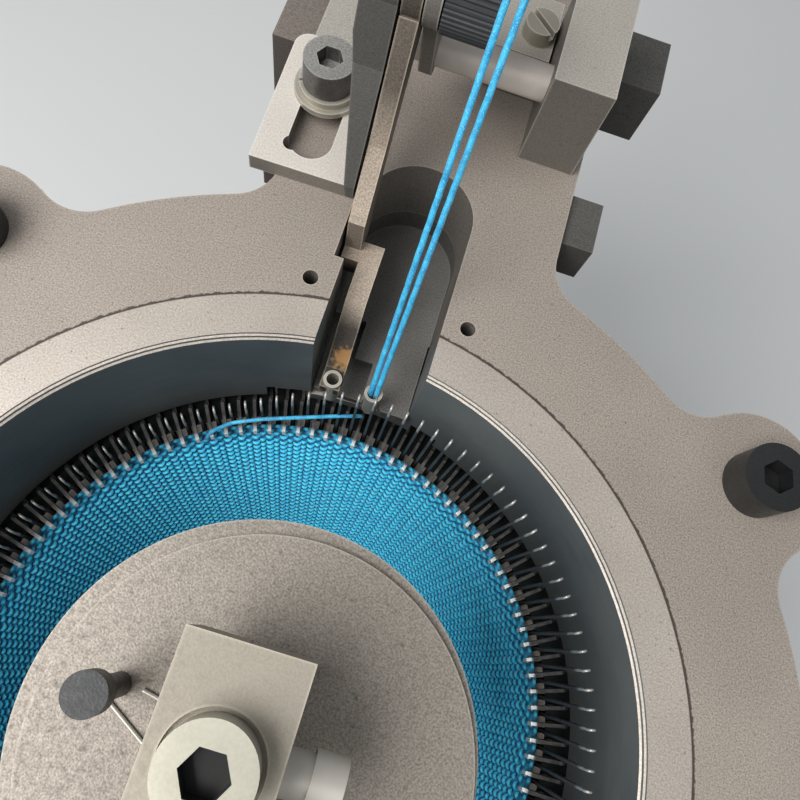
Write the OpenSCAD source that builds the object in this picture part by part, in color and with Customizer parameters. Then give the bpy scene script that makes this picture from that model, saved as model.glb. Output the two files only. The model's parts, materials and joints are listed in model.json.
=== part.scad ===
// Small-diameter circular knitting head: a needle cylinder turns inside a cast head and knits a tube.
// Millimetres, +Z up. The origin is on the cylinder axis, in the underside of the base plate.
// +Y points to the rear lobe of the head casting, which carries the yarn feeder.

/* [Base and pillars] */
// Width of the square base plate
base_w = 300; // [280:1:360]
// Thickness of the base plate
base_t = 14; // [10:0.5:20]
// Corner radius of the base plate
base_corner_r = 16; // [8:1:24]
// Hole in the base plate that the fabric leaves through, radius
base_hole_r = 58; // [54:1:62]
// Bolt hole radius in the base plate
base_bolt_r = 5.5; // [3:0.1:7]
// Distance from the base plate's edges to the centre of each bolt hole
base_bolt_inset = 20; // [16:0.5:28]
// Distance from the casting's round edge out to each pillar's axis
pillar_reach = 6; // [4:0.5:10]
// Angle of the first pillar from +X
pillar_angle = 40; // [38:0.5:43]
// Pillar radius between base plate and bed plate
lower_pillar_r = 13; // [9:0.5:14]
// Pillar radius between bed plate and head casting
upper_pillar_r = 11; // [8:0.5:13]

/* [Head casting] */
// Height of the head casting's top face above the base plate's underside
head_top = 240; // [236:1:260]
// Thickness of the head casting
head_t = 22; // [18:0.5:26]
// Wall of the head casting round the bore ring
head_wall = 26.7; // [24:0.1:30]
// Half width of the rear lobe
lobe_half_w = 37; // [34:0.5:42]
// Length of the rear lobe behind the casting's round edge
lobe_len = 102; // [96:1:120]
// Corner radius at the back of the rear lobe
lobe_corner_r = 22; // [10:1:30]
// Radius of each ear round its pillar
ear_r = 18; // [15:0.5:20]
// Fillet between the ears or the lobe and the round part
outline_fillet = 12; // [6:1:16]
// Width of the feeder slot
slot_w = 28; // [27:0.1:30]
// Distance from the bore ring's outside to the centre of the slot's round end
slot_reach = 29.3; // [25:0.1:34]
// Radius of the two small pin holes beside the slot
pin_hole_r = 1.9; // [1:0.1:3]
// Depth of the two small pin holes
pin_hole_depth = 12; // [5:1:18]
// Half the distance between the two small pin holes
pin_hole_x = 20; // [17:0.5:24]
// Distance from the bore ring's outside to the line of the two small pin holes
pin_hole_inset = 3.1; // [2.5:0.1:6]

/* [Bore ring] */
// Room between the needle cylinder and the bore
bore_room = 5; // [4.5:0.1:5.5]
// Wall of the bore ring
ring_wall = 11.3; // [10.6:0.1:12]
// Height of the bore ring
ring_h = 44; // [42.5:0.5:45]
// Reach of the bore ring's flange under the casting
ring_flange_reach = 6.7; // [6.2:0.1:9]
// Thickness of the flange under the casting
ring_flange_t = 5; // [3:0.5:6]
// Chamfer at the top of the bore
bore_chamfer = 0.8; // [0.3:0.1:1.4]

/* [Needles and sinkers] */
// Number of needles round the cylinder
needle_count = 112; // [84:4:120]
// Depth of the needle stems' inner faces under the cylinder's surface
needle_set = 2.4; // [2.2:0.05:2.6]
// Depth of a needle stem, measured outward from the axis
needle_depth = 1.2; // [0.8:0.05:1.3]
// Thickness of a needle, along the circle
needle_w = 1; // [0.7:0.05:1.1]
// Outward reach of a needle's hook
hook_reach = 2.6; // [2.2:0.05:2.8]
// Length of a needle from tip to foot
needle_len = 70; // [68:0.5:71]
// Depth of a raised needle's tip under the head's top face
tip_raised = 12; // [11:0.5:16]
// Depth of a lowered needle's tip under the head's top face
tip_lowered = 34; // [30:0.5:35]
// Thickness of a sinker
sinker_w = 0.9; // [0.6:0.05:1]
// Reach of the sinkers' tips inside the cylinder's bore
sinker_overhang = 0.2; // [0:0.1:0.8]

/* [Needle cylinder] */
// Outer radius of the needle cylinder
cylinder_r = 77; // [76.9:0.05:77.1]
// Wall of the needle cylinder
cylinder_wall = 7; // [6.5:0.1:7.4]
// Depth of the cylinder's top edge under the head's top face
cylinder_top_depth = 50; // [49.5:0.5:51]
// Width of the needle slots
trick_w = 1.5; // [1.2:0.05:1.6]
// Width of the sinker ring
sinker_ring_w = 15; // [13:0.5:16]
// Thickness of the sinker ring
sinker_ring_t = 8; // [7:0.5:9]
// Running clearance of shafts and of the cylinder, on the radius
running_gap = 0.05; // [0.03:0.01:0.09]
// Gap left between seated pieces
seat_gap = 0.3; // [0.2:0.05:0.4]

/* [Drive] */
// Module of the gear teeth
gear_module = 2; // [2:1:2]
// Distance from the cylinder's surface to the ring gear's pitch circle
gear_reach = 13; // [12:0.5:14]
// Teeth on the pinion
pinion_teeth = 20; // [18:1:22]
// Face width of the ring gear
gear_w = 12; // [9:0.5:13]
// Thinning of each tooth flank for backlash
backlash = 0.18; // [0.15:0.01:0.3]
// Direction of the drive shaft from the axis, seen from above
drive_angle = -65; // [-67:1:-63]
// Radius of the drive shaft
shaft_r = 6; // [5:0.25:6.5]
// Radius of the gear motor's body
motor_r = 32; // [26:0.5:34]
// Radius of the hand wheel at the middle of its rim
handwheel_r = 26; // [22:0.5:28]
// Radius of the hand wheel's round rim
handwheel_rim_r = 4; // [3:0.25:4.5]

// Height of the gear motor's body
motor_h = 42; // [36:1:46]
// Height of the hand wheel's hub
hub_h = 15; // [13:0.5:18]

/* [Feeder] */
// Depth of the feeder plate's floor under the head's top face
feeder_floor = 30; // [28:0.5:31]
// Thickness of the feeder plate's floor
feeder_floor_t = 4; // [3:0.5:5]
// Width of the feeder plate under the casting
feeder_plate_w = 56; // [50:1:60]
// Distance from the bore's wall in to the yarn tube's axis
feeder_tube_inset = 2.05; // [1.8:0.05:2.1]
// Place of the yarn tube across the slot
feeder_tube_x = 3.1; // [2.9:0.1:3.4]
// Outer radius of a feeder tube
tube_r = 2.4; // [2.1:0.05:2.45]
// Bore radius of a feeder tube
tube_bore_r = 1.65; // [1.58:0.01:1.8]
// Height of a feeder tube
tube_h = 12; // [10:0.5:13]
// Place of the second feeder tube across the slot
tube2_x = -8.1; // [-8.4:0.1:-7.9]
// Height of the lever shaft above the head's top face
lever_shaft_z = 47.7; // [46:0.1:50]
// Distance from the centre of the slot's round end to the lever shaft
lever_shaft_back = 22.8; // [21:0.1:25]
// Radius of the lever shaft
lever_shaft_r = 5; // [4:0.1:5.5]
// Thickness of the carrier lever
lever_w = 4.2; // [3.6:0.1:4.6]
// Radius of the cross rod
rod_r = 4.4; // [3.5:0.1:4.8]
// Height of the cross rod above the head's top face
rod_z = 20; // [18:0.5:21]
// Distance from the lever shaft back to the cross rod
rod_back = 10.2; // [9.8:0.1:11.6]
// Outer radius of the eyes round the lever shaft
shaft_eye_r = 9; // [8:0.1:9.5]
// Gap along the lever shaft between the pieces on it
stack_gap = 0.4; // [0.3:0.05:0.6]
// Thickness of the bracket plate between lever shaft and cross rod
bracket_t = 3.4; // [3:0.1:4.4]
// Thickness of the stop lever at its low end
stop_w = 1.4; // [1:0.1:2]
// Thickness of the stop lever's eye
stop_eye_w = 8; // [6:0.1:9]
// Length of the knurled sleeve
sleeve_len = 11; // [9:0.5:14]
// Width of the rear post
rear_post_w = 15; // [12:0.5:16]
// Length of the rear post's foot
rear_post_len = 34; // [28:0.5:38]
// Height of the rear post's foot
rear_post_h = 30; // [27:0.5:34]
// Width of the screw block
screw_block_w = 14.4; // [12:0.1:14.6]
// Length of the screw block
screw_block_len = 20; // [18:0.5:22]
// Height of the screw block
screw_block_h = 15; // [10:0.5:18]
// Radius of the slotted screw's head
slotted_r = 4.4; // [4:0.1:4.6]
// Radius of the black knurled sleeve
knurl_r = 9.4; // [9:0.1:10.4]
// Ridges round the knurled sleeve
knurl_count = 48; // [24:4:60]

/* [Clamp plate] */
// Width of the slotted clamp plate
clamp_w = 26.4; // [25:0.1:27]
// Length of the slotted clamp plate
clamp_len = 40.3; // [38:0.1:43]
// Thickness of the slotted clamp plate
clamp_t = 5; // [3:0.5:6]
// Width of the adjusting slot
clamp_slot_w = 11; // [10:0.5:12]
// Outer radius of the flat washer
washer_r = 8.6; // [8:0.1:9]
// Thickness of the flat washer
washer_t = 1.6; // [1:0.1:2]
// Thickness of the spring washer
spring_washer_t = 2; // [1.4:0.1:2.4]
// Turn of the clamp plate, seen from above
clamp_turn = 1; // [0:0.5:3]

/* [Disc and arm] */
// Radius of the hold-down disc
disc_r = 39; // [36:0.5:41]
// Height of the disc's top face above the head's top face
disc_z = 28; // [27:0.5:32]
// Thickness of the disc
disc_t = 6; // [4:0.5:8]
// Width of the arm
arm_w = 18.4; // [16:0.1:20]
// Thickness of the arm
arm_t = 20; // [16:0.5:22]
// Height of the arm's underside above the disc's top face
arm_lift = 10; // [8:0.5:12]
// Distance from the axis to the arm's inner end
arm_end_y = 15; // [12:0.5:17]
// Distance from the casting's round edge in to the arm column's axis
column_inset = 8; // [6:0.5:10]
// Radius of the arm's column
column_r = 13; // [10:0.5:14]

/* [Yarn and fabric] */
// Radius of each yarn strand
yarn_r = 0.75; // [0.5:0.05:0.78]
// Wall of the knitted tube
knit_wall = 1.6; // [1:0.1:1.8]
// Height of the ribs on the knitted tube
rib_h = 0.5; // [0.2:0.1:0.7]
// Height of the yarn guide above the head's top face
guide_z = 132; // [128:1:140]
// Distance from the guide post forward to the yarn guide
guide_reach = 33; // [31:0.5:35]
// Distance from the lobe's back to the guide post
post_inset = 14.5; // [12:0.5:17]
// Radius of the guide post
post_r = 5; // [4:0.5:6]
// Half the distance between the two guide eyes
guide_dx = 2.2; // [2.1:0.1:2.8]
// Outer radius of a guide eye
eye_r = 1.9; // [1.7:0.05:1.95]
// Bore radius of a guide eye
eye_bore_r = 1.1; // [1:0.05:1.2]

/* [Hidden] */
$fn = 96;
tiny = 0.01;
screw_gap = 0.1;
pillar_screw_r = 4.9;
pillar_thread = 12;
ring_screw_r = 1.5;
ring_thread = 6;
gear_screw_r = 2;
gear_thread = 4;
plate_screw_r = 2.4;
plate_thread = 7;

cylinder_bore_r = cylinder_r - cylinder_wall;
needle_r = cylinder_r - needle_set;
sinker_tip_r = cylinder_bore_r - sinker_overhang;
sinker_ring_r = cylinder_r + sinker_ring_w;
bore_r = cylinder_r + bore_room;
ring_outer_r = bore_r + ring_wall;
ring_flange_r = ring_outer_r + ring_flange_reach;
head_r = ring_outer_r + head_wall;
pillar_place_r = head_r + pillar_reach;
base_bolt_spacing = base_w - 2 * base_bolt_inset;
lobe_back = head_r + lobe_len;
slot_end_y = ring_outer_r + slot_reach;
pin_hole_y = ring_outer_r + pin_hole_inset;
// Where the fillet beside the lobe runs out into its side
lobe_side_y = sqrt(pow(head_r + outline_fillet, 2) - pow(lobe_half_w + outline_fillet, 2));
column_y = head_r - column_inset;
feeder_tube_y = bore_r - feeder_tube_inset;
lever_shaft_y = slot_end_y + lever_shaft_back;
rod_y = lever_shaft_y + rod_back;
post_y = lobe_back - post_inset;
guide_y = post_y - guide_reach;

head_bottom = head_top - head_t;
bed_top = head_top - 136;
bed_t = 14;
bed_bottom = bed_top - bed_t;
needle_pitch = 360 / needle_count;
cylinder_top = head_top - cylinder_top_depth;
bush_flange_t = 4;
cyl_flange_z = bed_top + bush_flange_t + running_gap;
cyl_flange_t = 6;
gear_z = cyl_flange_z + cyl_flange_t;
gear_top = gear_z + gear_w;
ring_teeth = 2 * round((cylinder_r + gear_reach) / gear_module);
ring_pitch_r = gear_module * ring_teeth / 2;
pinion_pitch_r = gear_module * pinion_teeth / 2;
drive_r = ring_pitch_r + pinion_pitch_r;
neck_r = cylinder_bore_r;
neck_wall = 6;
neck_bore_r = neck_r - neck_wall;
bush_t = 3;
cylinder_bush_t = 6;
gear_screw_place_r = cylinder_r + 4.9;
plate_screw_rows = [slot_end_y - 10.6, slot_end_y + 19.4];
relief_turn = 5.8;
relief_depth = 2;
relief_h = 6;
drum_wall = 5;
drum_outer_r = drive_r - shaft_r - bush_t;
drum_inner_r = drum_outer_r - drum_wall;
cam_bore_r = cylinder_r + 0.6;
cam_groove_r = cam_bore_r + 6.9;
butt_drop = needle_len - 8;
butt_half = 3;
butt_r = cam_groove_r - 2.5;
sinker_ring_top = cylinder_top;
arm_z = head_top + disc_z + arm_lift;
arm_top = arm_z + arm_t;
disc_x = 1.8;
disc_y = -2.5;
arm_x = -2.1;
arm_screw_y = -0.5;
side_screw_z = 7;
side_screw_r = 2.5;
side_screw_len = 4;
lever_x = -15.6;
lever_front_y = slot_end_y - 11;
lever_low_z = -14;
pocket_gap = 0.9;
stop_gap = 0.6;
tube_top = head_top - 20;
plate_top = head_top - feeder_floor;
clamp_x = -30.6;
clamp_y = slot_end_y - 2.4;
clamp_screw_dy = 25.1;
clamp_screw_y = clamp_y + clamp_screw_dy;
clamp_screw_x = -31.8;
m8_head_r = 6.5;
m8_head_h = 8;
m8_shank_r = 3.95;
m8_socket_r = 3.4;
bracket_x = lever_x + lever_w + stack_gap;
sleeve_x = bracket_x + bracket_t + stack_gap;
stop_x = lever_x - stop_gap;
rear_post_x = 20;
rear_post_y = rod_y - 7.2;
screw_block_x = 5;
screw_block_y = rod_y + 11.4;
motor_foot_h = 6;
motor_neck_h = 10;
motor_top = base_t + motor_foot_h + motor_h + motor_neck_h;
hub_z = head_top + 2;
hub_top = hub_z + hub_h;
arm_recess = 1.2;
arm_thread = 8;
stud_x = -22.1;
stud_y = 2.1;
stud_neck_r = 2;
stud_neck_h = 17;
stud_head_r = 3.25;
stud_head_h = 5;
shelf_top = -36.5;
shelf_t = 3;
guide_x = 7.4;
guide_arm_t = 8;
eye_h = 6;
tension_z = guide_z + 14;
post_top = tension_z + 8;

// Shared shapes

// Socket head cap screw, its head standing on z = 0 with the shank below
module cap_screw(head_r, head_h, shank_r, shank_len, socket_r) {
    difference() {
        union() {
            cylinder(r = head_r, h = head_h);
            translate([0, 0, -shank_len]) cylinder(r = shank_r, h = shank_len + tiny);
        }
        translate([0, 0, head_h * 0.45]) cylinder(r = socket_r, h = head_h, $fn = 6);
    }
}

// Bore with walls that a fit depends on
module bore(r, z0, z1) {
    translate([0, 0, z0 - tiny]) cylinder(r = r, h = z1 - z0 + 2 * tiny);
}

// Fillets where a strip of half width h leaves a disc of radius big_r along +X
module strip_fillets(big_r, h, f) {
    cy = h + f;
    cx = sqrt(pow(big_r + f, 2) - cy * cy);
    k = big_r / (big_r + f);
    for (side = [0, 1])
        mirror([0, side]) difference() {
            polygon([[cx, cy], [cx * k, cy * k], [cx * 0.8, 0], [cx, h]]);
            translate([cx, cy]) circle(r = f);
        }
}

// An ear of the frame plates, along +X
module ear_outline(big_r, place_r, r, f) {
    translate([0, -r]) square([place_r, 2 * r]);
    translate([place_r, 0]) circle(r = r);
    strip_fillets(big_r, r, f);
}

module at_pillars() {
    for (a = [pillar_angle, 180 - pillar_angle, 180 + pillar_angle, -pillar_angle])
        rotate([0, 0, a]) translate([pillar_place_r, 0, 0]) children();
}

module at_drive() {
    rotate([0, 0, drive_angle]) translate([drive_r, 0, 0]) children();
}

module at_ring_screws() {
    for (a = [0:60:300])
        rotate([0, 0, a]) translate([(ring_outer_r + ring_flange_r) / 2, 0, 0]) children();
}

module at_gear_screws() {
    for (a = [0:60:300])
        rotate([0, 0, a]) translate([gear_screw_place_r, 0, 0]) children();
}

module at_plate_screws() {
    for (x = [-1, 1], y = plate_screw_rows)
        translate([x * (feeder_plate_w / 2 - 6), y, 0]) children();
}

// Outline shared by the bed plate and the head casting
module frame_outline() {
    circle(r = head_r, $fn = 180);
    for (a = [pillar_angle, 180 - pillar_angle, 180 + pillar_angle, -pillar_angle])
        rotate([0, 0, a]) ear_outline(head_r, pillar_place_r, ear_r, outline_fillet);
    rotate([0, 0, drive_angle]) ear_outline(head_r, drive_r + 2, ear_r, outline_fillet / 2);
}

// Involute gear outline, a tooth centred on +X
function involute(a) = tan(a) - a * PI / 180;
function flank_angle(r, base_r, pitch_half) =
    pitch_half + (involute(20) - involute(acos(min(1, base_r / r)))) * 180 / PI;
module gear_outline(teeth) {
    pitch_r = gear_module * teeth / 2;
    base_r = pitch_r * cos(20);
    tip_r = pitch_r + 0.9 * gear_module;
    root_r = pitch_r - 1.2 * gear_module;
    half = 90 / teeth - backlash / pitch_r * 180 / PI;
    start_r = max(base_r, root_r);
    radii = [for (i = [0:3]) start_r + (tip_r - start_r) * i / 3];
    root_half = flank_angle(start_r, base_r, half);
    polygon([for (t = [0:teeth - 1]) each [
        for (p = concat(
            [[root_r, -root_half]],
            [for (r = radii) [r, -flank_angle(r, base_r, half)]],
            [for (i = [3:-1:0]) [radii[i], flank_angle(radii[i], base_r, half)]],
            [[root_r, root_half]]))
        p[0] * [cos(t * 360 / teeth + p[1]), sin(t * 360 / teeth + p[1])]]]);
}

// Frame

module base_plate() {
    half = base_w / 2;
    c = half - base_corner_r;
    color([0.33, 0.37, 0.36])
    difference() {
        linear_extrude(height = base_t) {
            square([base_w, 2 * c], center = true);
            square([2 * c, base_w], center = true);
            for (x = [-c, c], y = [-c, c]) translate([x, y]) circle(r = base_corner_r);
        }
        bore(base_hole_r, 0, base_t);
        for (x = [-1, 1], y = [-1, 1])
            translate([x, y, 0] * base_bolt_spacing / 2) bore(base_bolt_r, 0, base_t);
    }
}

module lower_pillars() {
    color([0.5, 0.5, 0.5])
    at_pillars() translate([0, 0, base_t]) cylinder(r = lower_pillar_r, h = bed_bottom - base_t);
}

module bed_plate() {
    color([0.42, 0.43, 0.43])
    difference() {
        translate([0, 0, bed_bottom]) linear_extrude(height = bed_t) frame_outline();
        bore(neck_r + cylinder_bush_t + 2 * running_gap, bed_bottom, bed_top);
        at_drive() bore(shaft_r + bush_t + 2 * running_gap, bed_bottom, bed_top);
    }
}

module upper_pillars() {
    color([0.62, 0.62, 0.62])
    at_pillars() difference() {
        translate([0, 0, bed_top]) cylinder(r = upper_pillar_r, h = head_bottom - bed_top);
        bore(pillar_screw_r + screw_gap, head_bottom - pillar_thread - 3, head_bottom);
    }
}

module head_casting() {
    back = lobe_back - lobe_corner_r;
    side = lobe_half_w - lobe_corner_r;
    color([0.58, 0.54, 0.5])
    difference() {
        translate([0, 0, head_bottom]) linear_extrude(height = head_t) {
            frame_outline();
            rotate([0, 0, 90]) strip_fillets(head_r, lobe_half_w, outline_fillet);
            translate([-lobe_half_w, 0]) square([2 * lobe_half_w, back]);
            translate([-side, 0]) square([2 * side, lobe_back]);
            for (s = [-1, 1]) translate([s * side, back]) circle(r = lobe_corner_r);
            rotate([0, 0, -90]) ear_outline(head_r, column_y + 4, column_r + 5, outline_fillet / 2);
        }
        bore(ring_outer_r + running_gap, head_bottom, head_top);
        translate([-slot_w / 2, 0, head_bottom - 1]) cube([slot_w, slot_end_y, head_t + 2]);
        translate([0, slot_end_y, 0]) bore(slot_w / 2, head_bottom, head_top);
        // Pocket in the slot's left wall, where the carrier lever goes down
        translate([lever_x - pocket_gap, lever_front_y - 7.6, head_bottom - 1])
            cube([lever_w + pocket_gap, 24, head_t + 2]);
        for (s = [-1, 1])
            translate([s * pin_hole_x, pin_hole_y, head_top - pin_hole_depth])
                cylinder(r = pin_hole_r, h = pin_hole_depth + 1, $fn = 32);
        at_drive() bore(shaft_r + bush_t + 2 * running_gap, head_bottom, head_top);
        at_pillars() bore(pillar_screw_r + screw_gap, head_bottom, head_top);
        at_ring_screws()
            bore(ring_screw_r + screw_gap, head_bottom, head_bottom + ring_thread + 2, $fn = 24);
        at_plate_screws()
            bore(plate_screw_r + screw_gap, head_bottom, head_bottom + plate_thread + 2, $fn = 32);
    }
}

module pillar_screws() {
    color([0.2, 0.2, 0.2])
    at_pillars() translate([0, 0, head_top])
        cap_screw(8, 10, pillar_screw_r, head_t + pillar_thread, 4, $fn = 48);
}

// Bore ring and cams

module bore_ring() {
    bottom = head_top - ring_h;
    c = bore_chamfer;
    color([0.34, 0.38, 0.41])
    difference() {
        rotate_extrude($fn = 180) polygon([
            [bore_r, bottom], [ring_outer_r, bottom],
            [ring_outer_r, head_bottom - ring_flange_t], [ring_flange_r, head_bottom - ring_flange_t],
            [ring_flange_r, head_bottom], [ring_outer_r, head_bottom],
            [ring_outer_r, head_top], [bore_r + 1.6 * c, head_top],
            [bore_r + 1.4 * c, head_top - 0.5 * c], [bore_r + 0.8 * c, head_top - 0.7 * c],
            [bore_r + 0.6 * c, head_top - 1.5 * c], [bore_r, head_top - 1.8 * c]]);
        translate([-slot_w / 2, 0, bottom + 4]) cube([slot_w, ring_flange_r + 5, ring_h]);
        // Relief steps beside the slot and a narrow timing notch in the bore
        for (a = [73, 100.6])
            rotate([0, 0, a]) rotate_extrude(angle = relief_turn)
                translate([bore_r - 1, bottom - 1]) square([relief_depth + 1, relief_h + 1]);
        rotate([0, 0, 107.6]) translate([bore_r - 1, -1.2, bottom - 1]) cube([4, 2.4, 8]);
        at_ring_screws() bore(ring_screw_r + screw_gap, head_bottom - ring_flange_t, head_bottom, $fn = 24);
    }
}

module ring_screws() {
    color([0.2, 0.2, 0.2])
    at_ring_screws() translate([0, 0, head_bottom - ring_flange_t]) rotate([180, 0, 0])
        cap_screw(2.7, 3, ring_screw_r, ring_flange_t + ring_thread, 1.3, $fn = 24);
}

module cam_drum() {
    top = sinker_ring_top - sinker_ring_t - 4;
    bottom_of_cams = gear_top + 8;
    groove_top = head_top - tip_raised - butt_drop + 5;
    groove_bottom = head_top - tip_lowered - butt_drop - 5;
    color([0.45, 0.47, 0.48])
    difference() {
        rotate_extrude($fn = 180) polygon([
            [drum_inner_r, bed_top], [drum_outer_r, bed_top], [drum_outer_r, top], [cam_bore_r, top],
            [cam_bore_r, groove_top], [cam_groove_r, groove_top],
            [cam_groove_r, groove_bottom], [cam_bore_r, groove_bottom],
            [cam_bore_r, bottom_of_cams], [drum_inner_r, bottom_of_cams]]);
        // Window that the pinion and its bush reach through
        at_drive() translate([-20, -(pinion_pitch_r + 6), bed_top - 1])
            cube([30, 2 * (pinion_pitch_r + 6), gear_top + 5 - bed_top]);
    }
}

// Cam bands fixed round the drum's groove, just outside the sweep of the needle butts
module needle_cams() {
    raised = head_top - tip_raised - butt_drop;
    lowered = head_top - tip_lowered - butt_drop;
    inner = butt_r + 0.4;
    outer = cam_groove_r - tiny;
    color([0.68, 0.68, 0.66]) {
        rotate([0, 0, -60]) rotate_extrude(angle = 130)
            translate([inner, raised - 4.9]) square([outer - inner, 3]);
        rotate([0, 0, 76]) rotate_extrude(angle = 14)
            translate([inner, (raised + lowered) / 2]) square([outer - inner, 8]);
        rotate([0, 0, 96]) rotate_extrude(angle = 26)
            translate([inner, lowered]) square([outer - inner, 6]);
        rotate([0, 0, 128]) rotate_extrude(angle = 90)
            translate([inner, lowered - 4.9]) square([outer - inner, 3]);
    }
}

// Rotating group

module cylinder_bush() {
    inner = neck_r + running_gap;
    outer = inner + cylinder_bush_t;
    flange = outer + 8;
    color([0.72, 0.55, 0.3])
    rotate_extrude($fn = 180) polygon([
        [inner, bed_bottom], [outer, bed_bottom], [outer, bed_top],
        [flange, bed_top], [flange, bed_top + bush_flange_t], [inner, bed_top + bush_flange_t]]);
}

module needle_cylinder() {
    neck_bottom = bed_bottom - seat_gap;
    trick_bottom_r = needle_r - seat_gap;
    trick_z = gear_top + 4;
    color([0.52, 0.53, 0.54]) {
        difference() {
            rotate_extrude($fn = 180) polygon([
                [neck_bore_r, neck_bottom], [neck_r, neck_bottom], [neck_r, cyl_flange_z],
                [cylinder_r + 9, cyl_flange_z], [cylinder_r + 9, gear_z], [cylinder_r, gear_z],
                [cylinder_r, trick_z], [cylinder_bore_r, trick_z], [neck_bore_r, gear_z]]);
            at_gear_screws() bore(gear_screw_r + screw_gap, gear_z - gear_thread - 0.5, gear_z, $fn = 24);
        }
        translate([0, 0, trick_z - tiny])
            linear_extrude(height = cylinder_top - trick_z + tiny)
                difference() {
                    circle(r = cylinder_r, $fn = 180);
                    circle(r = cylinder_bore_r, $fn = 180);
                    for (i = [0:needle_count - 1])
                        rotate(i * needle_pitch)
                            translate([trick_bottom_r, -trick_w / 2]) square([5, trick_w]);
                }
    }
}

module cylinder_retainer() {
    color([0.6, 0.6, 0.6])
    translate([0, 0, bed_bottom - seat_gap - 5])
        difference() {
            cylinder(r = neck_r + 4.5, h = 5, $fn = 180);
            bore(neck_bore_r, 0, 5, $fn = 180);
        }
}

module ring_gear() {
    color([0.46, 0.47, 0.49])
    difference() {
        translate([0, 0, gear_z]) linear_extrude(height = gear_w) gear_outline(ring_teeth);
        bore(cylinder_r + running_gap, gear_z, gear_top, $fn = 180);
        at_gear_screws() bore(gear_screw_r + screw_gap, gear_z, gear_top, $fn = 24);
    }
}

module gear_screws() {
    color([0.2, 0.2, 0.2])
    at_gear_screws() translate([0, 0, gear_top])
        cap_screw(3.5, 4, gear_screw_r, gear_w + gear_thread, 1.8, $fn = 24);
}

module sinker_ring() {
    color([0.36, 0.37, 0.38])
    translate([0, 0, sinker_ring_top - sinker_ring_t]) {
        difference() {
            cylinder(r = sinker_ring_r, h = sinker_ring_t - 5, $fn = 180);
            bore(cylinder_r + running_gap, 0, sinker_ring_t, $fn = 180);
        }
        translate([0, 0, sinker_ring_t - 5 - tiny])
            linear_extrude(height = 5 + tiny)
                difference() {
                    circle(r = sinker_ring_r, $fn = 180);
                    circle(r = cylinder_r + running_gap, $fn = 180);
                    for (i = [0:needle_count - 1])
                        rotate((i + 0.5) * needle_pitch)
                            translate([cylinder_r - 2, -(sinker_w / 2 + 0.15)])
                                square([sinker_ring_r - 0.5 - cylinder_r + 2, sinker_w + 0.3]);
                }
    }
}

// Each sinker runs in its slot, with its nose over the edge of the fabric
module sinkers() {
    z = head_top;
    slot_floor = sinker_ring_top - 5;
    color([0.62, 0.62, 0.6])
    for (i = [0:needle_count - 1])
        rotate([0, 0, (i + 0.5) * needle_pitch]) translate([0, sinker_w / 2, 0]) rotate([90, 0, 0])
            linear_extrude(height = sinker_w)
                polygon([[sinker_ring_r - 1, slot_floor], [sinker_ring_r - 1, z - 47.6],
                    [bore_r - 1.4, z - 47.6], [bore_r - 1.4, z - 42], [bore_r - 2.4, z - 40.9],
                    [sinker_tip_r + 2, z - 40.9], [sinker_tip_r + 0.6, z - 41.4], [sinker_tip_r, z - 42.4],
                    [sinker_tip_r + 0.8, z - 43.5], [cylinder_r + 0.6, z - 43.5],
                    [cylinder_r + 0.6, slot_floor]]);
}

// Tip height round the cylinder: raised on the right, lowered past the feeder, raised again behind
function ease(t) = let (u = max(0, min(1, t))) u * u * (3 - 2 * u);
function lowered_share(a) = ease((a - 84) / 34) * (1 - ease((a - 205) / 70));
function tip_depth(a) = tip_raised + (tip_lowered - tip_raised) * lowered_share(a);
function needle_angle(i) = i * needle_pitch;

module needles() {
    stem_out = needle_r + needle_depth;
    hook_out = needle_r + hook_reach;
    color([0.75, 0.76, 0.78])
    for (i = [0:needle_count - 1])
        rotate([0, 0, needle_angle(i)])
            translate([0, needle_w / 2, head_top - tip_depth(needle_angle(i))])
                rotate([90, 0, 0]) linear_extrude(height = needle_w)
                    polygon([[needle_r, -needle_len], [stem_out, -needle_len],
                        [stem_out, -butt_drop - butt_half], [butt_r, -butt_drop - butt_half],
                        [butt_r, -butt_drop + butt_half], [stem_out, -butt_drop + butt_half],
                        [stem_out, -6], [needle_r + 0.8, -5], [needle_r + 0.8, -1.6],
                        [needle_r + 1.2, -0.9], [needle_r + 1.6, -0.9], [hook_out - 0.7, -1.5],
                        [hook_out - 0.7, -2.9], [hook_out, -3], [hook_out, -1.2],
                        [hook_out - 0.8, 0], [needle_r + 0.8, 0], [needle_r, -1]]);
}

// Open latches, folded down along the stems
module needle_latches() {
    stem_out = needle_r + needle_depth;
    color([0.8, 0.8, 0.82])
    for (i = [0:needle_count - 1])
        rotate([0, 0, needle_angle(i)])
            translate([0, needle_w * 0.3, head_top - tip_depth(needle_angle(i))])
                rotate([90, 0, 0]) linear_extrude(height = needle_w * 0.6)
                    polygon([[stem_out, -8], [stem_out, -13.2], [stem_out + 1.2, -13.8],
                        [stem_out + 1.4, -12.8], [stem_out + 0.6, -8]]);
}

module needle_band() {
    color([0.7, 0.7, 0.7])
    translate([0, 0, sinker_ring_top - sinker_ring_t - 2])
        rotate_extrude($fn = 180) translate([cylinder_r + 0.8 + 0.2, 0]) circle(r = 0.8, $fn = 16);
}

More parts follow.
